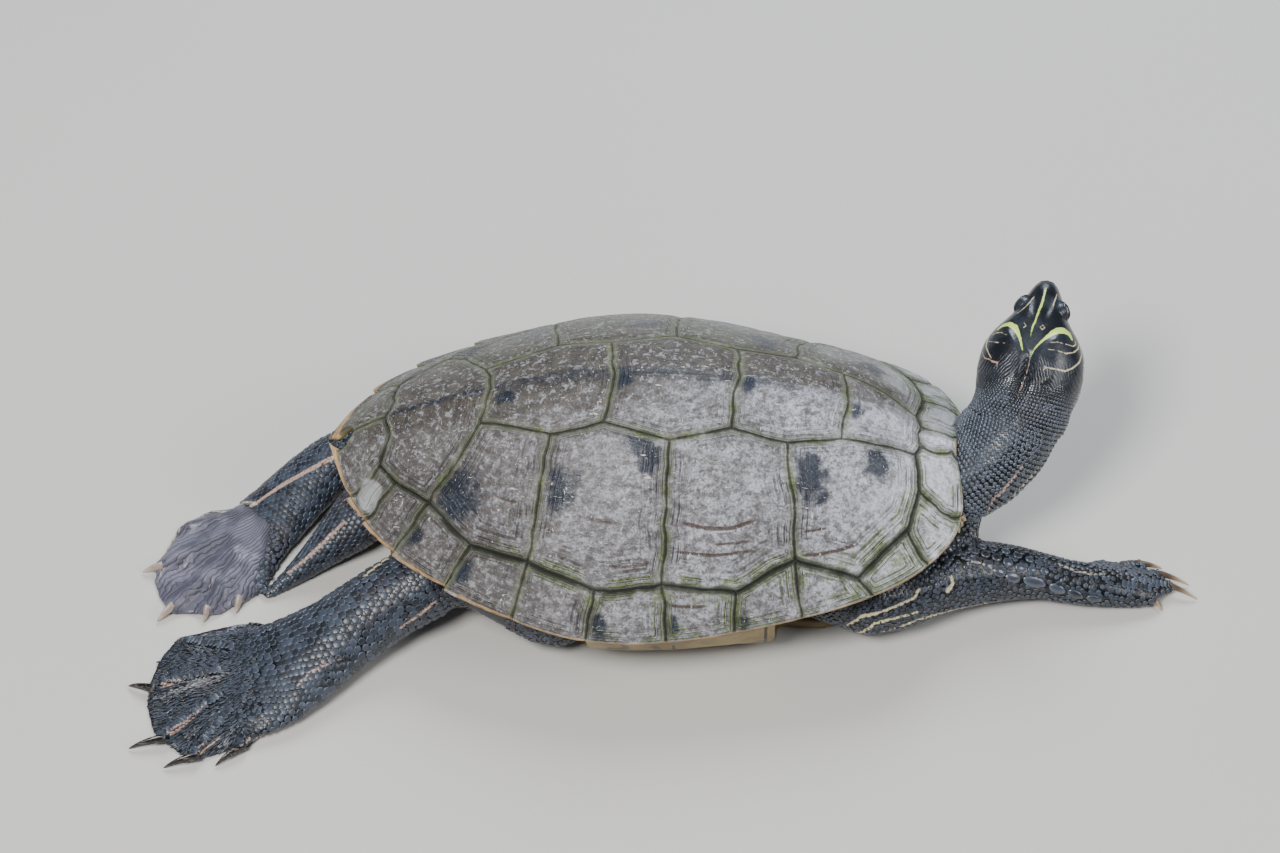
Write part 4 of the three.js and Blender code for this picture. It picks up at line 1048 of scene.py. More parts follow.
def crownForms(moved, x, y, z):
    upward = step(0, 8, z)
    # jaw muscles swell behind the crescents, on both sides of a crease that runs back from the crown
    middle = np.interp(x, (-4, 0, 3.3, 5.5, 7.8, 11, 14, 20), (2.8, 2.1, 1.3, 0.9, 0.5, 0.3, 0.3, 1.4))
    crown = np.interp(x, (11, 15, 18.5, 22, 26), (0.2, 0.9, 2.8, 5.4, 8.6))
    beside = np.abs(y - middle)
    swell = step(-1.0, 3.4, beside - crown) * step(27, 21, x) * step(-12, 3, x)
    moved[:, 2] += face["muscle"] * swell * upward * (1 - 0.75 * step(7, 17, np.abs(y)))
    furrow = face["furrow"] * np.exp(-(beside / 1.5) ** 1.6) * step(17, 10, x) * step(-12, -3, x)
    moved[:, 2] -= furrow * upward
    away = np.sqrt(((x - 12) / 11) ** 2 + ((z - 4) / 8) ** 2)
    for hand in (1, -1):
        moved[:, 1] += hand * face["temple"] * np.exp(-away ** 2) * step(4, 12, y * hand)
    # fuller nape
    away = np.sqrt(((x + 8) / 8) ** 2 + ((z - 3) / 11) ** 2)
    moved[:, 1] += face["nape"] * np.exp(-away ** 2) * step(4, 13, y)
    # hollow between the brows and a low ridge on the snout
    hollow = face["brow"] * np.exp(-((np.abs(y) - 2.6) / 1.4) ** 2) * step(28, 33, x) * step(41, 37, x)
    moved[:, 2] -= hollow * upward
    ridge = face["snout"] * np.exp(-(y / 1.2) ** 2) * step(24, 30, x) * step(42.5, 38, x)
    moved[:, 2] += ridge * upward


def mouthForms(moved, x, y, z):
    side = np.where(y > 0, 1.0, -1.0)
    # cheek behind the eye and crease in front of the eardrum
    ear = head["eardrum"]
    away = np.sqrt((x - ear[0]) ** 2 + (z - ear[2]) ** 2) + 0.4 * np.abs(np.abs(y) - ear[1])
    drum = face["earRim"] * np.exp(-((away - face["earRadius"]) / 0.8) ** 2)
    drum += face["ear"] * (away < face["earRadius"])
    moved[:, 1] -= side * drum * (np.abs(y) > 9)
    # mouth, bent down to the beak and up to its corners
    mouth = head["mouth"] - face["beak"] * step(36, 43, x) * step(4.5, 2, np.abs(y)) + 0.5 * step(34, 24, x)
    length = step(head["mouthBack"] - 1, head["mouthBack"] + 2, x)
    crease = np.exp(-((z - mouth) / 0.42) ** 2) * length
    inward = -np.stack([0.25 * np.ones_like(x), side, np.zeros_like(x)], axis=1)
    inward[x > 42] = (-1, 0, 0)
    moved += inward * (face["mouth"] * crease)[:, None]
    lip = np.exp(-((z - mouth - 1.0) / 0.7) ** 2) * length
    moved -= inward * (face["lip"] * lip)[:, None]
    for hand in (1, -1):
        spot = np.array(head["nostril"]) * (1, hand, 1)
        away = np.linalg.norm(np.stack([x, y, z], axis=1) - spot, axis=1)
        moved[:, 0] -= face["nostril"] * (1 - step(0.2, 0.85, away))
        moved[:, 0] += face["nostrilRim"] * np.exp(-((away - 1.15) / 0.35) ** 2)


def lidForms(local, hand, isSide):
    # lids follow the eyeball; the opening between them lies behind its surface
    centre = np.array(head["eye"]) * (1, hand, 1)
    gaze = np.array(head["gaze"]) * (1, hand, 1)
    gaze /= np.linalg.norm(gaze)
    long = np.cross(gaze, (0, 0, 1.0))
    long *= np.sign(long[0]) / np.linalg.norm(long)
    high = np.cross(long, gaze)
    high *= np.sign(high[2])
    out = local - centre
    size = np.linalg.norm(out, axis=1)
    lead = out / np.maximum(size, 1e-6)[:, None]
    facing = lead @ gaze
    lengthwise = np.degrees(np.arctan2(lead @ long, np.maximum(facing, 1e-3)))
    upwards = np.degrees(np.arctan2(lead @ high, np.maximum(facing, 1e-3)))
    # the lids meet in a corner at both ends of an almond
    wide, tall = head["opening"]
    ring = np.abs(lengthwise / wide) ** 1.8 + np.abs(upwards / tall) ** 1.8
    ring = np.where(facing > 0, ring, 9)
    eye = head["eyeRadius"]
    lids = eye + head["lid"] + face["lidEdge"] * np.exp(-((ring - 1.45) / 0.5) ** 2)
    lids += face["lidFolds"] * np.sin(ring * 4.6) * np.exp(-((ring - 3.0) / 1.6) ** 2)
    # smooth union of the head and the lids
    width = face["lidJoin"]
    lap = np.clip(0.5 + 0.5 * (lids - size) / width, 0, 1)
    joined = size * (1 - lap) + lids * lap + width * lap * (1 - lap)
    soft = step(0.8, 1.15, ring)
    target = (eye - face["eyeInset"]) * (1 - soft) + joined * soft
    close = (size < 9) * isSide
    weight = step(-0.6, -0.1, facing) * close
    ditch = np.exp(-((ring - 2.1) / 0.35) ** 2) * (facing > 0) * close
    return local + lead * ((target - size) * weight)[:, None] - lead * (face["lidDitch"] * ditch)[:, None]


def sculptHead(places):
    x, y, z = near = toHead(places).T
    back, wide, tall = face["reach"]
    inside = (x > back) & (np.abs(y) < wide) & (np.abs(z) < tall)
    moved = np.zeros((len(places), 3))
    crownForms(moved, x, y, z)
    mouthForms(moved, x, y, z)
    local = near.T + moved
    for hand in (1, -1):
        local = lidForms(local, hand, y * hand > 0)
    result = np.array(places)
    result[inside] = fromHead(local[inside])
    return result


# toes stand out of the web as ridges; near and far hind foot have their own relief
webRelief = dict(hindfoot_right=dict(hollow=0.55, ridge=0.9), hindfoot_left=dict(hollow=0.3, ridge=0.4))
webFrom = -134


def sculptFeet(places):
    result = np.array(places)
    x, z = places[:, 0], places[:, 2]
    for foot, relief in webRelief.items():
        lift = np.zeros(len(places))
        nearest = np.full(len(places), 99.0)
        for root, tip, _ in toes[foot]:
            root, tip = np.array(root, float), np.array(tip, float)
            run = (tip - root)[:2]
            t = np.clip(((places[:, :2] - root[:2]) @ run) / (run @ run), -0.1, 1)
            gap = np.linalg.norm(places[:, :2] - root[:2] - t[:, None] * run, axis=1)
            nearest = np.minimum(nearest, gap)
            lift = np.maximum(lift, np.exp(-(gap / 1.7) ** 2) * (0.5 + 0.7 * np.clip(t, 0, 1)))
        close = (nearest < 12) & (z > 1.1) & (x < webFrom)
        hollow = step(2.2, 5, nearest) * step(webFrom, webFrom - 12, x)
        result[close, 2] += (relief["ridge"] * lift - relief["hollow"] * hollow)[close]
    return result


setPlaces(skin, sculptFeet(sculptHead(placesOf(skin))))
shadeSmooth(skin)
print("head is shaped")


# Painted lines of the skin: half widths and points, in the head's frame or in the model's

headLines = {
    "yellow": [
        ((0.3, 0.75, 1.05, 1.05, 0.75, 0.5, 0.38, 0.2), [(22.4, 13.4, 7.7), (24, 12, 8.1), (24.8, 9.9, 9.4),
         (23.8, 7.6, 11), (22, 6.2, 11.8), (20.1, 5.1, 12.5), (17.6, 4.2, 13), (15.5, 3.5, 13.2)]),
        ((0.45, 1.05, 1.3, 1.25, 0.95, 0.66, 0.46, 0.36, 0.24, 0.2, 0.14), [(23.3, -12.4, 8.1),
         (25.2, -11.1, 8), (25.8, -9.3, 9.1), (25.1, -7.3, 10.7), (23.7, -5.6, 11.7), (21.7, -4, 12.5),
         (19.8, -2.6, 12.7), (18.5, -1.7, 12.9), (16.7, -0.7, 13.1), (15, -0.2, 13.2), (13.8, 0.3, 13.3)]),
        ((0.14, 0.22, 0.28, 0.32, 0.3, 0.26, 0.16, 0.06), [(40.3, -0.2, 6.5), (37.5, -0.2, 8.2),
         (34, 0, 9.6), (30.5, 0.4, 10.7), (27.1, 0.9, 11.5), (25.1, 1.4, 11.9), (22.3, 1.5, 12.4),
         (20.7, 1.5, 12.6)]),
    ],
    "cream": [
        ((0.12, 0.2, 0.2, 0.1), [(36.6, 3.4, 7.8), (34.3, 4.4, 8.6), (32.3, 5.6, 8.8), (29.5, 7.9, 8.3)]),
        ((0.12, 0.2, 0.2, 0.1), [(39.1, -4.2, 5.2), (37.2, -4.3, 6.8), (35.2, -4.0, 8.2), (33, -4.1, 9.2)]),
        ((0.06, 0.16, 0.16, 0.1), [(20.2, 14.9, 6.9), (21, 13.4, 8.6), (21, 11.5, 10), (20.2, 9.3, 11.3)]),
        ((0.06, 0.16, 0.16, 0.1), [(17.8, 15.8, 7.2), (17.6, 14.4, 8.9), (17.3, 12, 10.6),
         (17.2, 9.4, 11.7)]),
        ((0.06, 0.14, 0.18, 0.2, 0.2, 0.14), [(19.6, -4.4, 12.7), (20.6, -7.7, 11.9), (20.8, -10.7, 10.8),
         (20.8, -13.1, 8.9), (22, -13.9, 7.2), (23.1, -13.5, 6.9)]),
        ((0.08, 0.16, 0.2, 0.22, 0.22, 0.16), [(17.5, -5.2, 13), (17.7, -8.7, 12.3), (17.5, -11.3, 11.3),
         (18.7, -13.7, 9.2), (20.7, -14.8, 6.5), (22.7, -14.8, 4.3)]),
        ((0.1, 0.18, 0.26, 0.3, 0.3, 0.3, 0.3, 0.28, 0.2), [(11.1, -5.1, 13.6), (11.1, -7.3, 13.2),
         (11.3, -9.9, 12.5), (11.3, -12.1, 11.5), (13.1, -14.3, 9.5), (15.8, -16, 7.2), (18.7, -16.2, 5.2),
         (24, -13.2, 2.2), (29.6, -9.4, 1.2)]),
        ((0.12, 0.1, 0.12, 0.1, 0.12), [(26.2, -1.9, 11.8), (25.4, -2.8, 11.8), (24.5, -2.0, 12),
         (25.3, -1.1, 11.9), (26.1, -1.8, 11.8)]),
        ((0.1, 0.12, 0.1), [(25.8, 4.6, 11.3), (24.9, 3.8, 11.7), (24, 4.6, 11.7)]),
        ((0.1, 0.28, 0.3, 0.2), [(11.4, 13, 10.4), (15.8, 16, 7.1), (21, 15.4, 3.8), (29.6, 9.4, 1.2)]),
    ],
    "pink": [
        ((0.14, 0.2, 0.2, 0.18, 0.16, 0.08), [(13.8, 0.3, 12.6), (11, 0.2, 12.1), (7.8, 0.5, 11.9),
         (3.3, 1.2, 11.6), (0, 2.1, 11.2), (-4, 2.9, 11.5)]),
        ((0.16, 0.2, 0.18, 0.3, 0.3, 0.2), [(14, 16.9, 5.8), (11.6, 16, 8.4), (11, 13.7, 10.4),
         (10.4, 12.6, 11.1), (10.1, 10.7, 12.2), (8.8, 10.7, 12.2)]),
        ((0.1, 0.35, 0.1), [(11.7, -5, 13.4), (11, -5.8, 13.3), (9.7, -4.9, 13.5)]),
    ],
}
# the same run of lines along both cheeks and under the jaw
cheekLines = [
    ((0.1, 0.35, 0.38, 0.3), [(30.6, 9.2, -1), (24, 13.6, -1.2), (14, 17.4, 1.4), (2, 16.6, 2.4)]),
    ((0.3, 0.42, 0.4, 0.32), [(38, 4.6, -5.2), (28, 11.6, -6), (16, 16.8, -5), (0, 16, -4)]),
    ((0.2, 0.3, 0.3), [(30.4, 9.6, 0.4), (23, 14.2, 1.2), (15.6, 17, 4)]),
    ((0.3, 0.4, 0.36), [(34, 4, -8.6), (22, 9, -11.2), (2, 9.4, -11.4)]),
]
for hand in (1, -1):
    for width, line in cheekLines:
        headLines["cream"].append((width, [(x, y * hand, z) for x, y, z in line]))
headLines["cream"].append(((0.3, 0.4, 0.4, 0.3), [(41, 0, -5.6), (32, 0, -9), (18, 0, -12), (0, 0, -13)]))

bodyLines = {
    "yellow": [],
    "cream": [
        ((0.1, 0.22, 0.22, 0.24, 0.12), [(145.3, -19, 16), (149.7, -20.3, 15.1), (154.2, -21.6, 14.3),
         (160.4, -21.2, 13), (166.7, -20.3, 11.3)]),
        ((0.1, 0.2, 0.2, 0.14, 0.06), [(112.3, -28.6, 25.6), (117.6, -26.6, 24), (121.2, -26.3, 22.5),
         (125.7, -27.6, 20.1), (129.4, -28.1, 18.1)]),
        ((0.5, 0.55, 0.9), [(109.2, -33.6, 24.3), (110.2, -35.3, 22.6), (108.3, -37.2, 21.4)]),
        ((0.3, 0.5, 0.5, 0.5, 0.4), [(86, -50.5, 11), (98.3, -44.7, 13.7), (106.1, -40.5, 12),
         (113.2, -35.5, 9.3), (128, -32, 6)]),
        ((0.4, 0.6, 0.5, 0.4, 0.6), [(73.4, -49.5, 14.8), (78.9, -49.8, 21.1), (86.7, -47.8, 22),
         (96.6, -42.4, 22.8), (98.2, -39.9, 24.3)]),
        ((0.5, 0.55, 0.4), [(77.8, -49, 10.6), (83.4, -50.8, 18.5), (98.1, -44.8, 17.9)]),
        ((0.5, 0.45, 0.4, 0.45, 0.4, 0.3), [(117.5, -13.7, 22.4), (121, -13.6, 31), (125.8, -12.6, 38.4),
         (131.3, -10, 41.4), (135.6, -6.8, 46.3), (139, -4, 50)]),
        ((0.8, 0.9, 0.7), [(112.9, -16.5, 38), (112.3, -14.5, 32.5), (111.5, -16.9, 29.1)]),
        ((0.7, 0.75, 0.7), [(-88.7, -39.5, 27.7), (-92.7, -43.3, 27), (-95.8, -46.3, 26.3)]),
        ((0.4, 0.6, 0.5, 0.5, 0.5), [(-140.6, -3, 8.2), (-149.7, -0.4, 4.4), (-159, -0.6, 2.4),
         (-169.4, -9, 2), (-173.5, -20.1, 1.8)]),
        ((0.5, 0.5), [(66, 60, 6), (78, 67.4, 5)]),
    ],
    "pink": [
        ((0.3, 0.34, 0.4, 0.4, 0.3), [(115.6, -15.5, 25.4), (119, -13, 33), (122.6, -13, 43.4),
         (128.4, -9.4, 49.1), (132.5, -5.8, 54)]),
        ((0.5, 0.75, 0.75, 0.75, 0.6), [(-108, 15.6, 20), (-117.3, 11.2, 17.7), (-124.3, 7.4, 15.4),
         (-131.4, 3.6, 13.2), (-143.2, -3.6, 8.3)]),
        ((0.5, 0.6, 0.55, 0.5, 0.3), [(-106.9, -16.3, 18.7), (-112.2, -20.2, 14.7), (-116.5, -23.8, 11.8),
         (-120.8, -27.2, 9.3), (-126.8, -31.4, 6.2)]),
        ((0.5, 0.6, 0.5), [(-70.6, -54, 24.2), (-77.5, -58.1, 20.1), (-83.1, -61.3, 17.4)]),
        ((0.2, 0.4, 0.35, 0.4), [(-101.6, -74, 15.9), (-107.4, -77.3, 15.5), (-112.5, -79.7, 14),
         (-116.5, -84.3, 11.8)]),
        ((0.3, 0.5), [(-157, -78.6, 5.2), (-165.1, -81.7, 4.5)]),
        ((0.3, 0.4, 0.5, 0.6), [(-148.1, -88.8, 6), (-151.9, -94.1, 5.6), (-157.4, -99.9, 4.5),
         (-160.1, -102, 4.5)]),
        ((0.3, 0.45, 0.5), [(-142.3, -101.7, 3.7), (-146, -106.3, 3.9), (-148.3, -109.3, 3.8)]),
        ((0.4, 0.5), [(-131.8, -101.5, 4.1), (-133.9, -105.3, 4.1)]),
        ((0.3, 0.6, 0.5, 0.4), [(-100, -79.5, 4), (-112, -90, 3.4), (-124, -97.4, 2.6), (-132, -101, 2.4)]),
        ((0.4, 0.5, 0.4), [(58, 46, 21), (66, 56, 17), (78, 66, 10)]),
    ],
}


# a line colours what lies less than depth above or below it; margin is how far from it marks are kept
brush = dict(depth=3.5, margin=5)


def paintAt(points, normals):
    # how deep each place lies inside the nearest line of each colour, in mm; negative is outside
    result = {}
    local, localNormals = toHead(points), normals @ headTurn
    for color in ("yellow", "cream", "pink"):
        best = np.full(len(points), -9.0)
        for where, facing, lines in ((local, localNormals, headLines[color]),
                                     (points, normals, bodyLines[color])):
            for widths, line in lines:
                line = np.asarray(line, float)
                low, high = line.min(axis=0) - brush["margin"], line.max(axis=0) + brush["margin"]
                close = np.nonzero(((where > low) & (where < high)).all(axis=1))[0]
                if not len(close):
                    continue
                spots, face = where[close], facing[close]
                gap = np.full(len(close), 99.0)
                share = np.zeros(len(close))
                for k in range(len(line) - 1):
                    run = line[k + 1] - line[k]
                    t = np.clip((spots - line[k]) @ run / (run @ run), 0, 1)
                    off = spots - line[k] - t[:, None] * run
                    depth = (off * face).sum(axis=1)
                    flat = np.linalg.norm(off - depth[:, None] * face, axis=1)
                    flat = np.where(np.abs(depth) < brush["depth"], flat, 99)
                    nearer = flat < gap
                    gap[nearer] = flat[nearer]
                    share[nearer] = ((k + t) / (len(line) - 1))[nearer]
                half = np.interp(share, np.linspace(0, 1, len(widths)), widths)
                best[close] = np.maximum(best[close], half - gap)
        result[color] = best
    return result


# Scales. Each is a small closed dome with its root in the skin, laid in rows along a limb.

scaleMake = dict(
    # radius and height of the dome's rings: pebbles on the neck, flatter plates on the legs
    pebble=((1.0, -0.5), (0.97, 0.25), (0.7, 0.82)),
    flat=((1.0, -0.6), (0.96, 0.25), (0.85, 0.9), (0.72, 1.0)),
    big=((1.0, -1.2), (0.99, 0.25), (0.93, 0.62), (0.74, 0.9)),
    sides=6, bigSides=14, top=1.0,
    patch=0.0015,  # size of a scale on the unwrapped sheet
    lean=0.14,  # how much each scale rises to its end
    turn=0.12, tilt=0.035,  # how unevenly scales point and lie
    sink=0.3,  # how far the skin lies inside the flesh under the scales
    ground=0.02,  # nothing lies lower
    long=0.6, rowWide=0.59,  # half length and width in pitches
    rowStep=0.88, rowRoom=0.68, rowSizes=(0.9, 1.1),  # rows: distance, room for each and spread of sizes
    room=0.86, sizes=(0.9, 1.08),  # the same between the rows
    lowest=0.45, facing=0.15,  # no roots under the foot and none where a leg turns away
)
# plates over the toes: pitch, how it shrinks to the tip, and their sizes
toeMake = dict(pitch=2.0, shrink=0.5, step=0.86, long=0.62, wide=1.9, high=0.42)


def scaleShape(sides, rings):
    deselectAll()
    bpy.ops.mesh.primitive_circle_add(vertices=sides, radius=rings[0][0], fill_type="TRIFAN")
    dome = bpy.context.object
    bpy.ops.object.mode_set(mode="EDIT")
    bpy.ops.mesh.select_all(action="DESELECT")
    bpy.ops.mesh.select_mode(type="FACE")
    bpy.ops.mesh.select_all(action="SELECT")
    for before, after in zip(rings, rings[1:]):
        bpy.ops.mesh.extrude_region_move(TRANSFORM_OT_translate={"value": (0, 0, after[1] - before[1])})
        size = after[0] / before[0]
        bpy.ops.transform.resize(value=(size, size, 1))
    bpy.ops.mesh.select_all(action="SELECT")
    bpy.ops.mesh.quads_convert_to_tris()
    bpy.ops.mesh.normals_make_consistent(inside=False)
    bpy.ops.object.mode_set(mode="OBJECT")
    shape = placesOf(dome) * mm
    shape[:, 2] += rings[0][1]
    centre = np.linalg.norm(shape[:, :2], axis=1) < 0.01
    shape[centre & (shape[:, 2] > 0.5), 2] = scaleMake["top"]
    faces = [tuple(face.vertices) for face in dome.data.polygons]
    bpy.data.objects.remove(dome)
    return shape, np.array(faces)


pebble = scaleShape(scaleMake["sides"], scaleMake["pebble"])
flatPlate = scaleShape(scaleMake["sides"], scaleMake["flat"])
bigPlate = scaleShape(scaleMake["bigSides"], scaleMake["big"])


def unit(vectors):
    return vectors / np.maximum(np.linalg.norm(vectors, axis=-1, keepdims=True), 1e-9)


class ScaleBed:
    # roots of scales with their lie, size and place on the unwrapped limb
    cell = 2.2

    def __init__(self, name):
        self.name = name
        self.rows = []
        self.taken = {}

    def block(self, root):
        self.taken.setdefault(tuple(np.floor(root / self.cell).astype(int)), []).append(tuple(root))

    def add(self, root, normal, lie, long, wide, high, chart):
        self.rows.append((*root, *normal, *lie, long, wide, high, *chart))
        self.block(root)

    def crowded(self, spot, lie, reach, stretch=1.0):
        span = int(math.ceil(reach * max(stretch, 1) / self.cell))
        i, j, k = np.floor(spot / self.cell).astype(int)
        near = range(-span, span + 1)
        for key in ((i + a, j + b, k + c) for a in near for b in near for c in near):
            for other in self.taken.get(key, ()):
                dx, dy, dz = other[0] - spot[0], other[1] - spot[1], other[2] - spot[2]
                long = dx * lie[0] + dy * lie[1] + dz * lie[2]
                gap = dx * dx + dy * dy + dz * dz - long * long
                if gap * stretch + long * long / stretch ** 2 < reach ** 2:
                    return True
        return False


def limbFrame(stations, share):
    points = [station[0] for station in stations]
    centre = curveThrough(points, np.array([share]))[0]
    forward = curveThrough(points, np.array([min(share + 0.01, 1)]))[0] - curveThrough(
        points, np.array([max(share - 0.01, 0)]))[0]
    forward = forward / np.linalg.norm(forward)
    side = np.cross((0, 0, 1), forward)
    side /= np.linalg.norm(side)
    up = np.cross(forward, side)
    wide = np.interp(share, np.linspace(0, 1, len(stations)), [station[1] for station in stations])
    high = np.interp(share, np.linspace(0, 1, len(stations)), [station[2] for station in stations])
    return centre, forward, side, up, wide, high


def evenAngles(wide, high, pitch, shift):
    fine = np.linspace(0, 2 * math.pi, 361)
    length = np.hypot(np.diff(np.cos(fine)) * wide, np.diff(np.sin(fine)) * high)
    reach = np.concatenate([[0], np.cumsum(length)])
    count = max(6, int(round(reach[-1] / pitch)))
    return np.interp((np.arange(count) + shift) / count * reach[-1], reach, fine)


def ruled(rule, at):
    # a rule is a number, or a function of the place
    return rule(at) if callable(rule) else rule


def growRows(bed, stations, first, last, pitchRule, height, skip=None, slope=0.0):
    # rows round a limb, each shifted by half a scale against the one before
    points = np.array([station[0] for station in stations], float)
    length = np.linalg.norm(np.diff(points, axis=0), axis=1).sum()
    share, row = first, 0
    while share < last:
        centre, forward, side, up, wide, high = limbFrame(stations, share)
        pitch = ruled(pitchRule, share)
        for angle in evenAngles(wide, high, pitch, 0.5 * (row % 2)):
            out = side * math.cos(angle) * wide + up * math.sin(angle) * high
            reach = np.linalg.norm(out)
            out = out / reach
            start = centre + forward * slope * math.sin(angle) * reach
            hit = surface.ray_cast(Vector(start * mm), Vector(out), (reach * 1.5 + 4) * mm)
            if hit[0] is None:
                continue
            root, normal = np.array(hit[0]) / mm, np.array(hit[1])
            if root[2] < scaleMake["lowest"] or normal @ out < scaleMake["facing"] or (skip and skip(root)):
                continue
            lie = unit(forward - normal * (forward @ normal))
            if bed.crowded(root, lie, pitch * scaleMake["rowRoom"]):
                continue
            size = pitch * random.uniform(*scaleMake["rowSizes"])
            bed.add(root, normal, lie, size * scaleMake["long"], size * scaleMake["rowWide"], height * size,
                    (share, angle / 2 / math.pi))
        share += pitch * scaleMake["rowStep"] / length
        row += 1


def growBetween(bed, chosen, pitchRule, lieAt, height, stretch=1.0):
    # fills what the rows leave bare, scale by scale; stretch makes them long and narrow
    order = list(np.nonzero(chosen)[0])
    random.shuffle(order)
    low, high = cadBoxMm
    for index in order:
        root, normal = skinPlaces[index], skinNormals[index]
        lie = np.asarray(lieAt(root), float)
        lie = lie - normal * (lie @ normal)
        lie /= max(np.linalg.norm(lie), 1e-6)
        pitch = ruled(pitchRule, root)
        if bed.crowded(root, lie, pitch * scaleMake["room"], stretch):
            continue
        size = pitch * random.uniform(*scaleMake["sizes"])
        chart = (root - low) / (high - low)
        chart = (chart[0], chart[1] * 0.6 + chart[2] * 0.4)
        half = size * scaleMake["long"]
        bed.add(root, normal, lie, half * stretch, half / stretch ** 0.5, height * size, chart)


def fanFrom(heel):
    return lambda root: root - np.array(heel)


def acrossToes(bed, foot, first=0.25):
    # broad plates over each toe, one behind the other
    for root, tip, _ in toes[foot]:
        root, tip = np.array(root, float), np.array(tip, float)
        run = tip - root
        length = np.linalg.norm(run)
        lie = run / length
        along = first * length
        while along < length - 0.3:
            spot = root + lie * along
            hit = surface.ray_cast(Vector((spot + (0, 0, 9)) * mm), Vector((0, 0, -1)), 0.02)
            pitch = toeMake["pitch"] - toeMake["shrink"] * along / length
            along += pitch * toeMake["step"]
            if hit[0] is None:
                continue
            spotRoot, normal = np.array(hit[0]) / mm, np.array(hit[1])
            bed.add(spotRoot, normal, lie, pitch * toeMake["long"], toeMake["wide"], toeMake["high"],
                    (along / length, spot[1] / 200))


def layScales(bed, dome=pebble):
    table = np.array(bed.rows)
    shape, faces = dome
    count, size = len(table), len(shape)
    root, normal, lie = table[:, 0:3], unit(table[:, 3:6]), table[:, 6:9]
    if dome is flatPlate:
        normal = unit(normal + np.random.default_rng(7).normal(0, scaleMake["tilt"], normal.shape))
    lie = unit(lie - normal * (lie * normal).sum(axis=1, keepdims=True))
    across = np.cross(normal, lie)
    turn = np.random.default_rng(5).uniform(-scaleMake["turn"], scaleMake["turn"], count)[:, None]
    lie, across = lie * np.cos(turn) + across * np.sin(turn), across * np.cos(turn) - lie * np.sin(turn)
    long, wide, high = (table[:, k][:, None, None] for k in (9, 10, 11))
    lengthwise, crosswise, upwards = (shape[None, :, k:k + 1] for k in range(3))
    upwards = upwards + scaleMake["lean"] * lengthwise
    spots = (root[:, None, :] + lie[:, None, :] * lengthwise * long
             + across[:, None, :] * crosswise * wide + normal[:, None, :] * upwards * high).reshape(-1, 3)
    spots[:, 2] = np.maximum(spots[:, 2], scaleMake["ground"])
    corners = (faces[None, :, :] + np.arange(count)[:, None, None] * size).reshape(-1, 3)
    mesh = bpy.data.meshes.new(bed.name)
    mesh.vertices.add(len(spots))
    mesh.loops.add(len(corners) * 3)
    mesh.polygons.add(len(corners))
    mesh.vertices.foreach_set("co", (spots * mm).astype(np.float32).ravel())
    mesh.loops.foreach_set("vertex_index", corners.ravel().astype(np.int32))
    mesh.polygons.foreach_set("loop_start", (np.arange(len(corners)) * 3).astype(np.int32))
    mesh.update(calc_edges=True)
    piece = bpy.data.objects.new(bed.name, mesh)
    bpy.context.collection.objects.link(piece)
    low, span = table[:, 12:14].min(axis=0), np.ptp(table[:, 12:14], axis=0)
    chart = 0.02 + 0.96 * (table[:, 12:14] - low) / np.maximum(span, 1e-6)
    patch = chart[:, None, :] + shape[None, :, :2] * scaleMake["patch"]
    unwrap = mesh.uv_layers.new(name="OFBake")
    unwrap.data.foreach_set("uv", patch.reshape(-1, 2)[corners.ravel()].astype(np.float32).ravel())
    paint = {key: np.repeat(value, size) for key, value in paintAt(root, normal).items()}
    lined = np.maximum.reduce(list(paint.values())) > -2.5
    for key, value in paintAt(spots[lined], np.repeat(normal, size, axis=0)[lined]).items():
        paint[key][lined] = value
    paint["fade"] = np.repeat(step(-5, 2.5, headReach(root)), size)
    paint["tone"] = np.repeat(np.random.default_rng(9).uniform(0, 1, count), size)
    for key, value in paint.items():
        setMark(piece, key, value)
    setMark(piece, "crest", np.tile(np.clip(shape[:, 2], 0, 1), count))
    shadeSmooth(piece)
    return piece


random.seed(4)
cadBoxMm = np.array(cadBox[0]) / mm, np.array(cadBox[1]) / mm
skinPlaces, skinNormals = placesOf(skin), normalsOf(skin)


def headReach(places):
    # where the smooth skin of the head begins, in mm along the head
    x, y, z = toHead(places).T
    edge = 0.8 + 3.0 * step(2, -6, z) + 2.6 * softNoise(places, 3.5, 31)
    close = (np.abs(y) < 24) & (np.abs(z) < 21) & (x > -20)
    return np.where(close, x - edge, -20)


bareness = step(-1.5, 2.5, headReach(skinPlaces))
bareness = np.maximum(bareness, 0.7 * step(-5, 0, headReach(skinPlaces)))
setPlaces(skin, skinPlaces - skinNormals * (scaleMake["sink"] * (1 - bareness))[:, None])
skinPlaces, skinNormals = placesOf(skin), normalsOf(skin)
surface = BVHTree.FromPolygons([Vector(spot * mm) for spot in skinPlaces],
                               [tuple(face.vertices) for face in skin.data.polygons])
# scales root at the corners and in the middle of the skin's faces
fours = np.array([list(face.vertices)[:3] + [face.vertices[-1]] for face in skin.data.polygons])
middleNormals = skinNormals[fours].mean(axis=1)
skinPlaces = np.vstack([skinPlaces, skinPlaces[fours].mean(axis=1)])
skinNormals = np.vstack([skinNormals, middleNormals / np.linalg.norm(middleNormals, axis=1, keepdims=True)])

# skin in the open air, as ranges of x and y in mm; the rows leave gaps there that are filled
far = 999
openRanges = [((50, 97), (42, far)), ((60, 97), (-far, -38)), ((-100, -60), (-far, -34)),
              ((-far, -66), (20, far)), ((-far, -78), (-far, far)), ((-46, -12), (43, far)),
              ((-46, -12), (-far, -43))]
x, y, z = skinPlaces.T
openAir = (x > 96) & (headReach(skinPlaces) < 4)
for (rear, front), (right, left) in openRanges:
    openAir |= (x > rear) & (x < front) & (y > right) & (y < left)
openAir &= z > 0.5


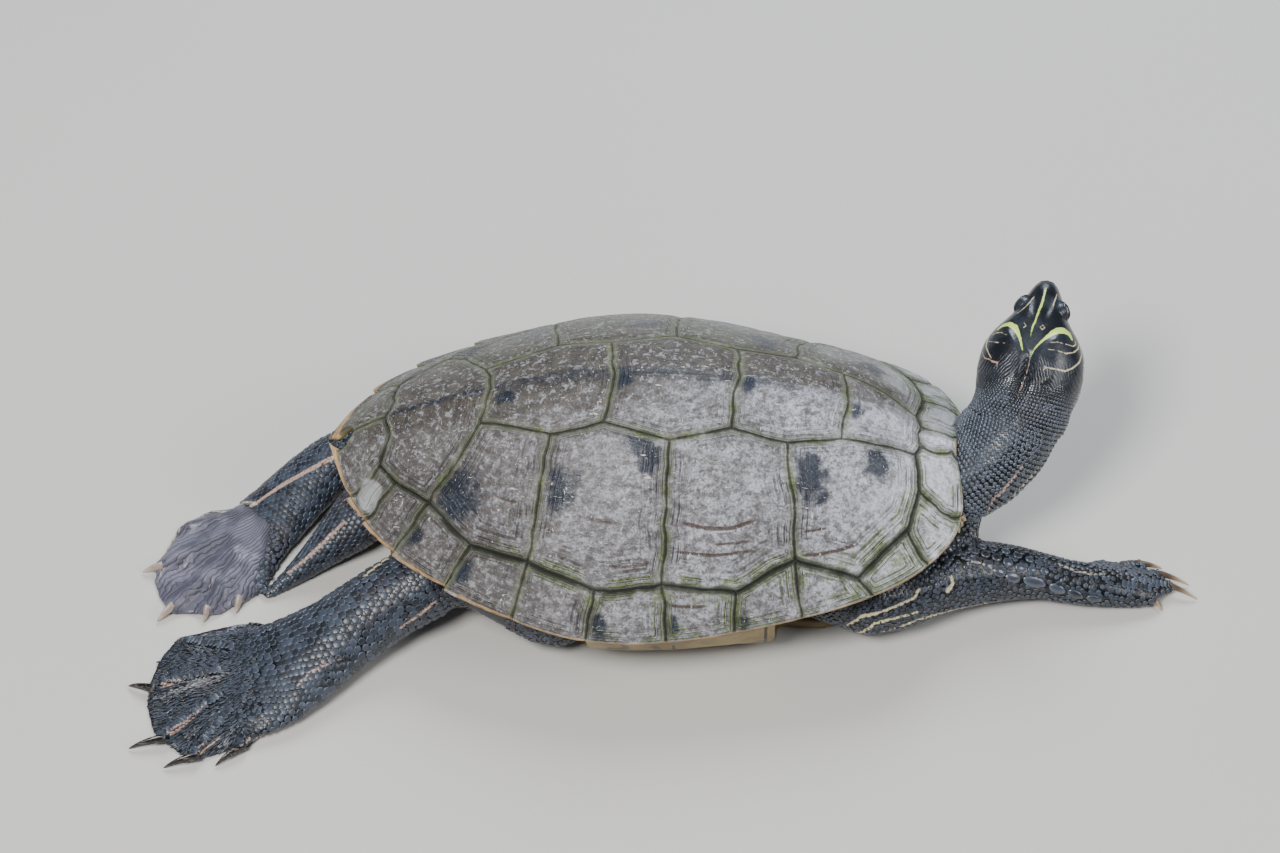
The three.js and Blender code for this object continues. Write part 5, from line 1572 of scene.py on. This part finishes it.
def nearestLimb(root):
    best, lie = 1e9, (1, 0, 0)
    for stations in limbs.values():
        points = np.array([station[0] for station in stations], float)
        for k in range(len(points) - 1):
            run = points[k + 1] - points[k]
            t = min(max((root - points[k]) @ run / (run @ run), 0), 1)
            gap = np.linalg.norm(root - points[k] - t * run)
            if gap < best:
                best, lie = gap, run / np.linalg.norm(run)
    return lie


# large plates of the near foreleg: place, half length, half width
armPlates = [
    ((112, -24, 27), 1.7, 1.5), ((115, -25.5, 26), 1.8, 1.6), ((118.6, -25.8, 24.6), 2, 1.7),
    ((122.4, -26.2, 22.6), 2.2, 1.9), ((126.6, -27.4, 20.4), 2.6, 2), ((131.6, -28, 17.8), 3, 2.1),
    ((139.2, -27.2, 14.6), 4.6, 2.3), ((147.2, -27, 11.4), 3.3, 1.9), ((153.8, -27.2, 9.4), 3.2, 1.7),
    ((160.4, -27.2, 7.8), 3, 1.5), ((118, -21.6, 26), 1.8, 1.6), ((121.6, -22, 24.4), 1.9, 1.7),
    ((125.4, -22.6, 22.6), 2, 1.7), ((129.4, -23.4, 20.8), 2.1, 1.8), ((133.8, -24, 18.8), 2.1, 1.7),
    ((112, -19.6, 27.4), 1.7, 1.5), ((115.4, -18.8, 26.6), 1.7, 1.5), ((120.4, -18, 24.8), 1.8, 1.6),
    ((124.4, -18.4, 23), 1.8, 1.6), ((128.6, -18.6, 21.4), 1.8, 1.6), ((132.8, -19.4, 20), 1.8, 1.5),
    ((137, -20, 18.4), 1.7, 1.4), ((138, -23.6, 17.2), 1.8, 1.5), ((142.4, -23, 16), 1.7, 1.4),
    ((108, -28.6, 27), 1.6, 1.4), ((109, -24, 27.8), 1.6, 1.4),
]
armLie = (0.93, -0.05, -0.36)
armRise = 0.7  # how high they stand

settled = []
plateBed = ScaleBed("armPlates")
for spot, long, wide in armPlates:
    hit = surface.find_nearest(Vector(spot) * mm)
    root, normal = np.array(hit[0]) / mm, np.array(hit[1])
    settled.append((root, long, wide))
    plateBed.add(root, normal, armLie, long, wide, 0.75, ((root[0] - 100) / 70, (root[1] + 35) / 20))

coat = []
armPiece = layScales(plateBed, bigPlate)
# the plates bend with the leg under them
spots = placesOf(armPiece)
crests = np.tile(bigPlate[0][:, 2], len(armPlates))
for k in range(len(spots)):
    hit = surface.find_nearest(Vector(spots[k]) * mm)
    spots[k] = np.array(hit[0]) / mm + np.array(hit[1]) * crests[k] * armRise
setPlaces(armPiece, spots)
coat.append(armPiece)


def onHead(root):
    return headReach(root[None])[0] > 4.5


neckBed = ScaleBed("neckScales")
neckPath = [*limbs["neck"][1:], (tuple(fromHead([(9, 0, 0)])[0]), 17, 13.4)]
growRows(neckBed, neckPath, 0.02, 1.0, lambda share: 1.95 - share, 0.44, onHead, slope=-0.12)
isNeck = openAir & (z > 24) & (x > 100)
growBetween(neckBed, isNeck, lambda root: 2.0 - float(step(28, 62, root[2])), nearestLimb, 0.44)
# they flatten out where the smooth head begins
neckTable = np.array(neckBed.rows)
neckTable[:, 11] *= 1 - 0.85 * step(-6, 4, headReach(neckTable[:, :3]))
neckBed.rows = neckTable
coat.append(layScales(neckBed))

foreBed = ScaleBed("forelegRightScales")
for spot, long, wide in settled:
    for share in (-0.7, -0.35, 0, 0.35, 0.7):
        foreBed.block(spot + np.array(armLie) * long * share)
acrossToes(foreBed, "forefoot_right", 0.1)
isFore = openAir & (x > 60) & (y < 12) & ~isNeck
growBetween(foreBed, isFore, lambda root: 1.8 if root[0] > 130 else 1.5, nearestLimb, 0.3)
coat.append(layScales(foreBed, flatPlate))

foreLeftBed = ScaleBed("forelegLeftScales")
growRows(foreLeftBed, limbs["foreleg_left"], 0.3, 0.99, lambda share: 1.7 + 0.4 * share, 0.26)
acrossToes(foreLeftBed, "forefoot_left", 0.1)
isForeLeft = openAir & (x > 46) & (y >= 12) & ~isNeck
growBetween(foreLeftBed, isForeLeft, 1.7, nearestLimb, 0.27)
coat.append(layScales(foreLeftBed, flatPlate))

hindBed = ScaleBed("hindlegRightScales")
growRows(hindBed, limbs["hindleg_right"], 0.2, 0.93,
         lambda share: 2.0 + 0.95 * math.sin(math.pi * share), 0.26)
acrossToes(hindBed, "hindfoot_right")
isHind = openAir & (y < -33) & (x < -8) & ((x > -139) | (y < -52))
growBetween(hindBed, isHind & (x > -137), 1.7, nearestLimb, 0.24)
# narrow scales on the near web, none where the leg has its own
webBed = ScaleBed("webRightScales")
webBed.taken = hindBed.taken
growBetween(webBed, isHind & (x <= -135) & (z > 0.9), 0.96, fanFrom((-112, -70, 4)), 0.22, stretch=2.2)
coat.append(layScales(hindBed, flatPlate))
coat.append(layScales(webBed, flatPlate))

hindLeftBed = ScaleBed("hindlegLeftScales")
growRows(hindLeftBed, limbs["hindleg_left"], 0.3, 0.93, 2.4, 0.24)
isHindLeft = openAir & (x < -8) & ~isHind & (x > -136 + 5 * softNoise(skinPlaces, 6, 3))
growBetween(hindLeftBed, isHindLeft, 1.7, nearestLimb, 0.24)
tailBed = ScaleBed("tailScales")
growRows(tailBed, limbs["tail"], 0.12, 0.99, lambda share: 2.7 - 1.2 * share, 0.34)
coat.append(layScales(hindLeftBed, flatPlate))
coat.append(layScales(tailBed, flatPlate))
print("scales:", [(piece.name, len(piece.data.polygons)) for piece in coat])


# Claws

clawMake = dict(
    radius=dict(forefoot_right=1.4, forefoot_left=1.4, hindfoot_right=2.1, hindfoot_left=1.9),
    reach=dict(forefoot_right=1, forefoot_left=1, hindfoot_right=1, hindfoot_left=0.72),
    tip=0.16, hook=0.34, sides=12, steps=14, root=2.2,
    taper=0.75, above=1.12, below=0.7, wide=0.78, pinch=0.25,  # section: narrow above, flat underside
)


def clawOf(name, foot, tip, end):
    tip, end = np.array(tip, float), np.array(end, float)
    end = tip + (end - tip) * (clawMake["reach"][foot], clawMake["reach"][foot], 1)
    run = end - tip
    length = np.linalg.norm(run)
    forward = run / length
    side = unit(np.cross((0, 0, 1.0), forward))
    start = tip - forward * clawMake["root"] + (0, 0, 0.1)
    arch = (tip + end) / 2 + np.array((0, 0, clawMake["hook"] * length * 0.55))
    rings = []
    for share in np.linspace(0, 1, clawMake["steps"]):
        centre = start * (1 - share) ** 2 + 2 * arch * share * (1 - share) + end * share ** 2
        lead = unit(2 * (1 - share) * (arch - start) + 2 * share * (end - arch))
        up = unit(np.cross(lead, side))
        size = clawMake["radius"][foot] * (1 - share) ** clawMake["taper"] + clawMake["tip"]
        ring = []
        for angle in np.arange(clawMake["sides"]) / clawMake["sides"] * 2 * math.pi:
            rise = math.sin(angle)
            high = rise * size * (clawMake["above"] if rise > 0 else clawMake["below"])
            out = side * math.cos(angle) * size * clawMake["wide"] * (1 - clawMake["pinch"] * rise)
            ring.append(centre + out + up * high)
        rings.append(ring)
    piece = tubeOf(name, rings)
    places = placesOf(piece)
    places[:, 2] = np.maximum(places[:, 2], 0.02)
    setPlaces(piece, places)
    setMark(piece, "reach", np.clip((places - tip) @ forward / length, 0, 1))
    shadeSmooth(piece)
    dress(piece, clawFinish[foot])
    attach(piece, "root")
    return piece


def clawMaterial(name, base, point, edge):
    made, tree, shader = newMaterial(name, Specular_IOR_Level=0.6)
    reach = mark(tree, "reach")
    streak = grain(tree, 0.7, 3, stretch=(0.35, 2.2, 2.2))
    color = blend(tree, window(tree, plus(tree, reach, times(tree, streak, 0.25)), 0.3, 1.0), base, point)
    color = blend(tree, times(tree, window(tree, streak, 0.5, 0.72), 0.5), color, edge)
    tree.links.new(color, shader.inputs["Base Color"])
    tree.links.new(plus(tree, 0.16, times(tree, streak, 0.2)), shader.inputs["Roughness"])
    tree.links.new(bumpOf(tree, streak, 0.4, 0.0001), shader.inputs["Normal"])
    return made


clawFinish = {
    "forefoot_right": clawMaterial("clawHorn", tint(96, 80, 66), tint(196, 170, 138), tint(60, 50, 44)),
    "hindfoot_right": clawMaterial("clawBlack", tint(20, 20, 24), tint(56, 50, 48), tint(150, 138, 124)),
    "hindfoot_left": clawMaterial("clawPale", tint(176, 158, 146), tint(206, 190, 172), tint(130, 112, 104)),
}
clawFinish["forefoot_left"] = clawFinish["forefoot_right"]
claws = []
for foot, row in toes.items():
    for k, (root, tip, end) in enumerate(row):
        if end:
            claws.append(clawOf(f"claw_{foot}_{k + 1}", foot, tip, end))
print("claws:", len(claws))


# Eyes

eyeMake = dict(iris=2.35, pupil=0.95, bulge=0.06, dark=tint(96, 104, 44), pale=tint(178, 172, 84),
               bar=tint(24, 22, 16), ring=tint(150, 152, 84), black=tint(4, 4, 5), rim=tint(14, 14, 16))


def eyeMaterial():
    made, tree, shader = newMaterial("wetEye", Roughness=0.12, Specular_IOR_Level=0.7, Coat_Weight=1.0,
                                     Coat_Roughness=0.02)
    away, bar = mark(tree, "fromPupil"), mark(tree, "fromBar")
    rays = grain(tree, 1.6, 3)
    pupil, edge = eyeMake["pupil"], eyeMake["iris"]
    color = layered(tree, blend(tree, window(tree, rays, 0.4, 0.62), eyeMake["dark"], eyeMake["pale"]),
                    (window(tree, bar, 0.6, 0.35), eyeMake["bar"]),
                    (window(tree, away, 1.15, 1.0), eyeMake["ring"]),
                    (window(tree, away, pupil + 0.1, pupil), eyeMake["black"]),
                    (window(tree, away, edge, edge + 0.2), eyeMake["rim"]))
    tree.links.new(color, shader.inputs["Base Color"])
    return made


wetEye = eyeMaterial()
for hand, side in (("left", 1), ("right", -1)):
    centre = np.array(head["eye"]) * (1, side, 1)
    gaze = unit(np.array(head["gaze"]) * (1, side, 1))
    deselectAll()
    bpy.ops.mesh.primitive_uv_sphere_add(segments=48, ring_count=32, radius=1)
    eye = bpy.context.object
    eye.name = f"eyeball_{hand}"
    ball = unit(placesOf(eye) * mm)
    # the clear front bulges a little
    facing = ball @ gaze
    size = head["eyeRadius"] * (1 + eyeMake["bulge"] * step(0.75, 0.95, facing))
    away = np.degrees(np.arccos(np.clip(facing, -1, 1))) * math.pi / 180 * head["eyeRadius"]
    flat = ball - facing[:, None] * gaze
    setPlaces(eye, fromHead(centre + ball * size[:, None]))
    setMark(eye, "fromPupil", away)
    setMark(eye, "fromBar", np.abs(flat[:, 2]) * head["eyeRadius"])
    shadeSmooth(eye)
    dress(eye, wetEye)
    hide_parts(f"eye_{hand}")
    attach(eye, "root")


# Plastron

plastronMake = dict(
    nodes=("plastron_front", "plastron_middle", "plastron_rear"), swell=0.25, voxel=1.1, relax=14,
    groove=0.45,
    # seams: along the middle, from there to the left edge between the plates, and along the bridge
    seams=[[(97, 0), (-88, 0)], [(88, 0), (96, 16)], [(66, 0), (70, 42)], [(41, 0), (46, 66)],
           [(12, 0), (14, 68)], [(-28, 0), (-24, 66)], [(-58, 0), (-66, 40)], [(46, 58), (-24, 58)]],
    pale=tint(150, 132, 90), dark=tint(120, 102, 70), figure=tint(58, 50, 42), stain=tint(104, 86, 58),
    seam=tint(52, 42, 32),
)


def makePlastron():
    parts = [copyOf(name) for name in plastronMake["nodes"]]
    for part in parts:
        setPlaces(part, placesOf(part) + normalsOf(part) * plastronMake["swell"])
    piece = weld(parts, "plastron", plastronMake["voxel"], plastronMake["relax"])
    places = placesOf(piece)
    gap = np.full(len(places), 99.0)
    flat = np.stack([places[:, 0], np.abs(places[:, 1])], axis=1)
    for line in plastronMake["seams"]:
        gap = np.minimum(gap, lineDistance(flat, line)[0])
    places[:, 2] = np.maximum(places[:, 2], 0)
    # the underside is flat but for the seams
    below = step(2.2, 1.0, places[:, 2]) * step(1.1, 0.3, gap)
    lift = plastronMake["groove"] * below - places[:, 2] * (1 - below)
    places[:, 2] += np.where(places[:, 2] < 0.4, lift, 0)
    setPlaces(piece, places)
    setMark(piece, "seamMm", gap)
    shadeSmooth(piece)
    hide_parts("plastron_front", "plastron_middle", "plastron_rear")
    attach(piece, "root")
    return piece


def plastronMaterial():
    made, tree, shader = newMaterial("plastronHorn", Specular_IOR_Level=0.4)
    cloud, fine = grain(tree, 0.05, 5), grain(tree, 0.7, 4)
    seam = mark(tree, "seamMm")
    swirl = calc(tree, "ABSOLUTE", minus(tree, grain(tree, 0.02, 2, distort=1.2), 0.5))
    color = layered(
        tree, blend(tree, window(tree, cloud, 0.38, 0.62), plastronMake["pale"], plastronMake["dark"]),
        (times(tree, window(tree, swirl, 0.05, 0.015), 0.75), plastronMake["figure"]),
        (times(tree, window(tree, fine, 0.5, 0.7), 0.3), plastronMake["stain"]),
        (window(tree, seam, 0.8, 0.3), plastronMake["seam"]))
    tree.links.new(color, shader.inputs["Base Color"])
    tree.links.new(plus(tree, 0.35, times(tree, cloud, 0.25)), shader.inputs["Roughness"])
    rings = place(tree, growthRings, Distance=seam, Amount=0.8)
    height = plus(tree, times(tree, rings["Height"], 0.4), fine)
    tree.links.new(bumpOf(tree, height, 1.0, 0.00015), shader.inputs["Normal"])
    return made


plastron = makePlastron()
dress(plastron, plastronMaterial())
print("eyes and plastron are in")


# Finish of skin and scales

# the near-black tone is dark speckle on the skin and painted shade in the folds, between the scales and at
# their feet; the rim tone is a painted highlight on the slopes of the scales
slate = dict(skin=tint(22, 26, 34), skinPale=tint(44, 50, 61), shadeAndSpeckle=tint(6, 7, 10), scale=tint(23, 28, 37),
             scalePale=tint(62, 71, 87), rim=tint(118, 128, 144), warm=tint(78, 60, 58),
             sole=tint(116, 115, 132), soleDark=tint(84, 83, 98), yellow=tint(214, 240, 112),
             cream=tint(218, 206, 168), pink=tint(186, 156, 142))


def paintGroup():
    # pale lines over skin and scales alike
    inputs = [("Base", "Color", (0.1, 0.1, 0.1, 1)), ("Soft", "Float", 0.1)]
    tree, given, out = effectGroup("paintedLines", inputs, [("Color", "Color"), ("Mask", "Float")])
    ragged = times(tree, minus(tree, grain(tree, 0.8, 3), 0.5), 0.5)
    color, total = given["Base"], 0.0
    for name in ("pink", "cream", "yellow"):
        depth = plus(tree, mark(tree, name), ragged)
        outside = times(tree, given["Soft"], -1.0)
        level = put(tree, "ShaderNodeMapRange", {0: depth, 1: outside, 2: given["Soft"]}).outputs[0]
        color = blend(tree, level, color, slate[name])
        total = calc(tree, "MAXIMUM", level, total)
    tree.links.new(color, out["Color"])
    tree.links.new(total, out["Mask"])
    return tree


paintedLines = paintGroup()


def skinMaterial():
    made, tree, shader = newMaterial("turtleSkin", Specular_IOR_Level=0.6, Coat_Weight=0.25,
                                     Coat_Roughness=0.16)
    cloud, fine = grain(tree, 0.12, 4), grain(tree, 1.1, 4)
    bare, sole, web, turn, depth = marks(tree, "bare sole web foldTurn foldDepth")
    turn = plus(tree, turn, times(tree, grain(tree, 0.1, 3), 16.0))
    fold = calc(tree, "POWER", calc(tree, "ABSOLUTE", calc(tree, "SINE", turn)), 0.6)
    fold = minus(tree, 1.0, fold)
    # the bottoms of the folds are darkened: painted shade in the creases
    gap = times(tree, window(tree, fold, 0.4, 0.8), depth)
    color = layered(
        tree, blend(tree, window(tree, cloud, 0.4, 0.62), slate["skin"], slate["skinPale"]),
        (times(tree, window(tree, fine, 0.4, 0.65), 0.35), slate["shadeAndSpeckle"]),
        (sole, blend(tree, window(tree, cloud, 0.4, 0.6), slate["sole"], slate["soleDark"])),
        (times(tree, gap, 0.7), slate["shadeAndSpeckle"]))
    # skin that is neither bare nor web is painted near-black: painted shade between the scales
    color = blend(tree, calc(tree, "MAXIMUM", bare, web), slate["shadeAndSpeckle"], color)
    lines = place(tree, paintedLines, Base=color, Soft=0.1)
    tree.links.new(lines["Color"], shader.inputs["Base Color"])
    rough = plus(tree, 0.2, times(tree, cloud, 0.25))
    tree.links.new(plus(tree, rough, times(tree, sole, 0.15)), shader.inputs["Roughness"])
    height = plus(tree, times(tree, times(tree, fold, -1.6), depth), times(tree, fine, 0.3))
    tree.links.new(bumpOf(tree, height, 1.0, 0.0003), shader.inputs["Normal"])
    return made


def scaleMaterial(name, rough, coatWeight, coatRough):
    made, tree, shader = newMaterial(name, Specular_IOR_Level=0.6, Coat_Weight=coatWeight,
                                     Coat_Roughness=coatRough)
    cloud = grain(tree, 0.07, 3)
    # tone differs from scale to scale, crest runs from 0 at a scale's foot to 1 on its top
    tone, crest, fade = marks(tree, "tone crest fade")
    tone = plus(tree, times(tree, tone, 0.55), times(tree, cloud, 0.45))
    # a pale band on each scale's slopes: painted highlight of the gloss along scale edges
    edge = times(tree, window(tree, crest, 0.35, 0.6), window(tree, crest, 1.0, 0.8))
    color = layered(
        tree, blend(tree, window(tree, tone, 0.2, 0.85), slate["scale"], slate["scalePale"]),
        (times(tree, window(tree, grain(tree, 0.05, 3), 0.5, 0.7), 0.3), slate["warm"]),
        # the dark at each scale's foot is painted shade in the gaps between scales
        (times(tree, edge, 0.4), slate["rim"]), (window(tree, crest, 0.5, 0.15), slate["shadeAndSpeckle"]),
        (times(tree, fade, 0.8), slate["skin"]))
    lines = place(tree, paintedLines, Base=color, Soft=0.2)
    tree.links.new(lines["Color"], shader.inputs["Base Color"])
    tree.links.new(plus(tree, rough, times(tree, cloud, 0.25)), shader.inputs["Roughness"])
    tree.links.new(bumpOf(tree, grain(tree, 2.2, 2), 0.5, 0.0001), shader.inputs["Normal"])
    return made


# creases of the nape run beside its middle line, those of the webs fan out from the heels
folds = dict(
    period=2.6, middle=1, rise=0.55, fall=0.95, fan=15, heels=((-112, -70), (-120, 8)), farWeb=0.75,
    between=-57,  # y between the two hind feet
    web=(-130, -139), sole=(-131, -140),  # x where each begins and is full
)
places = placesOf(skin)
# skin keeps its own colour on the head and away from scales; where scales lie close it is painted near-black,
# as shade between them
grown = np.vstack([placesOf(piece)[::7] for piece in coat])
nearest = KDTree(len(grown))
for k, spot in enumerate(grown):
    nearest.insert(spot, k)
nearest.balance()
gaps = np.array([nearest.find(spot)[2] for spot in places])
setMark(skin, "bare", np.maximum(step(-3.5, 0, headReach(places)), step(1.8, 4, gaps)))
for key, value in paintAt(places, normalsOf(skin)).items():
    setMark(skin, key, value)
x, y, z = toHead(places).T
beside = np.abs(y - folds["middle"])
nearTop = step(-6, 2, z) * (np.abs(y) < 24) * (x > -16)
foldTurn = (x * folds["rise"] + beside * folds["fall"]) * 2 * math.pi / folds["period"]
foldDepth = step(16, 8, x) * step(-10, -3, x) * nearTop * (0.4 + 0.6 * step(8, 2, beside))
x, y, z = places.T
far = y > folds["between"]
web = step(*folds["web"], x) * (z > 0.6)
for heel, isOwn in zip(folds["heels"], (y < folds["between"], y >= folds["between"])):
    turn = np.arctan2(y - heel[1], -(x - heel[0]))
    foldTurn = np.where((web > 0) & isOwn, turn * 2 * math.pi * folds["fan"], foldTurn)
setMark(skin, "foldTurn", foldTurn)
setMark(skin, "foldDepth", np.maximum(foldDepth, web * np.where(far, folds["farWeb"], 1.0)))
setMark(skin, "web", web)
setMark(skin, "sole", step(*folds["sole"], x + 3 * softNoise(places, 5, 17)) * far * (z > 0.6))
dress(skin, skinMaterial())
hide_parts(*flesh, "head", "lower_jaw")
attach(skin, "root")
beadHorn = scaleMaterial("beadHorn", rough=0.14, coatWeight=0.6, coatRough=0.1)
scaleHorn = scaleMaterial("scaleHorn", rough=0.3, coatWeight=0.2, coatRough=0.22)
for piece in coat:
    dress(piece, beadHorn if piece.name in ("neckScales", "armPlates") else scaleHorn)
    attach(piece, "root")
print("skin finish is on")
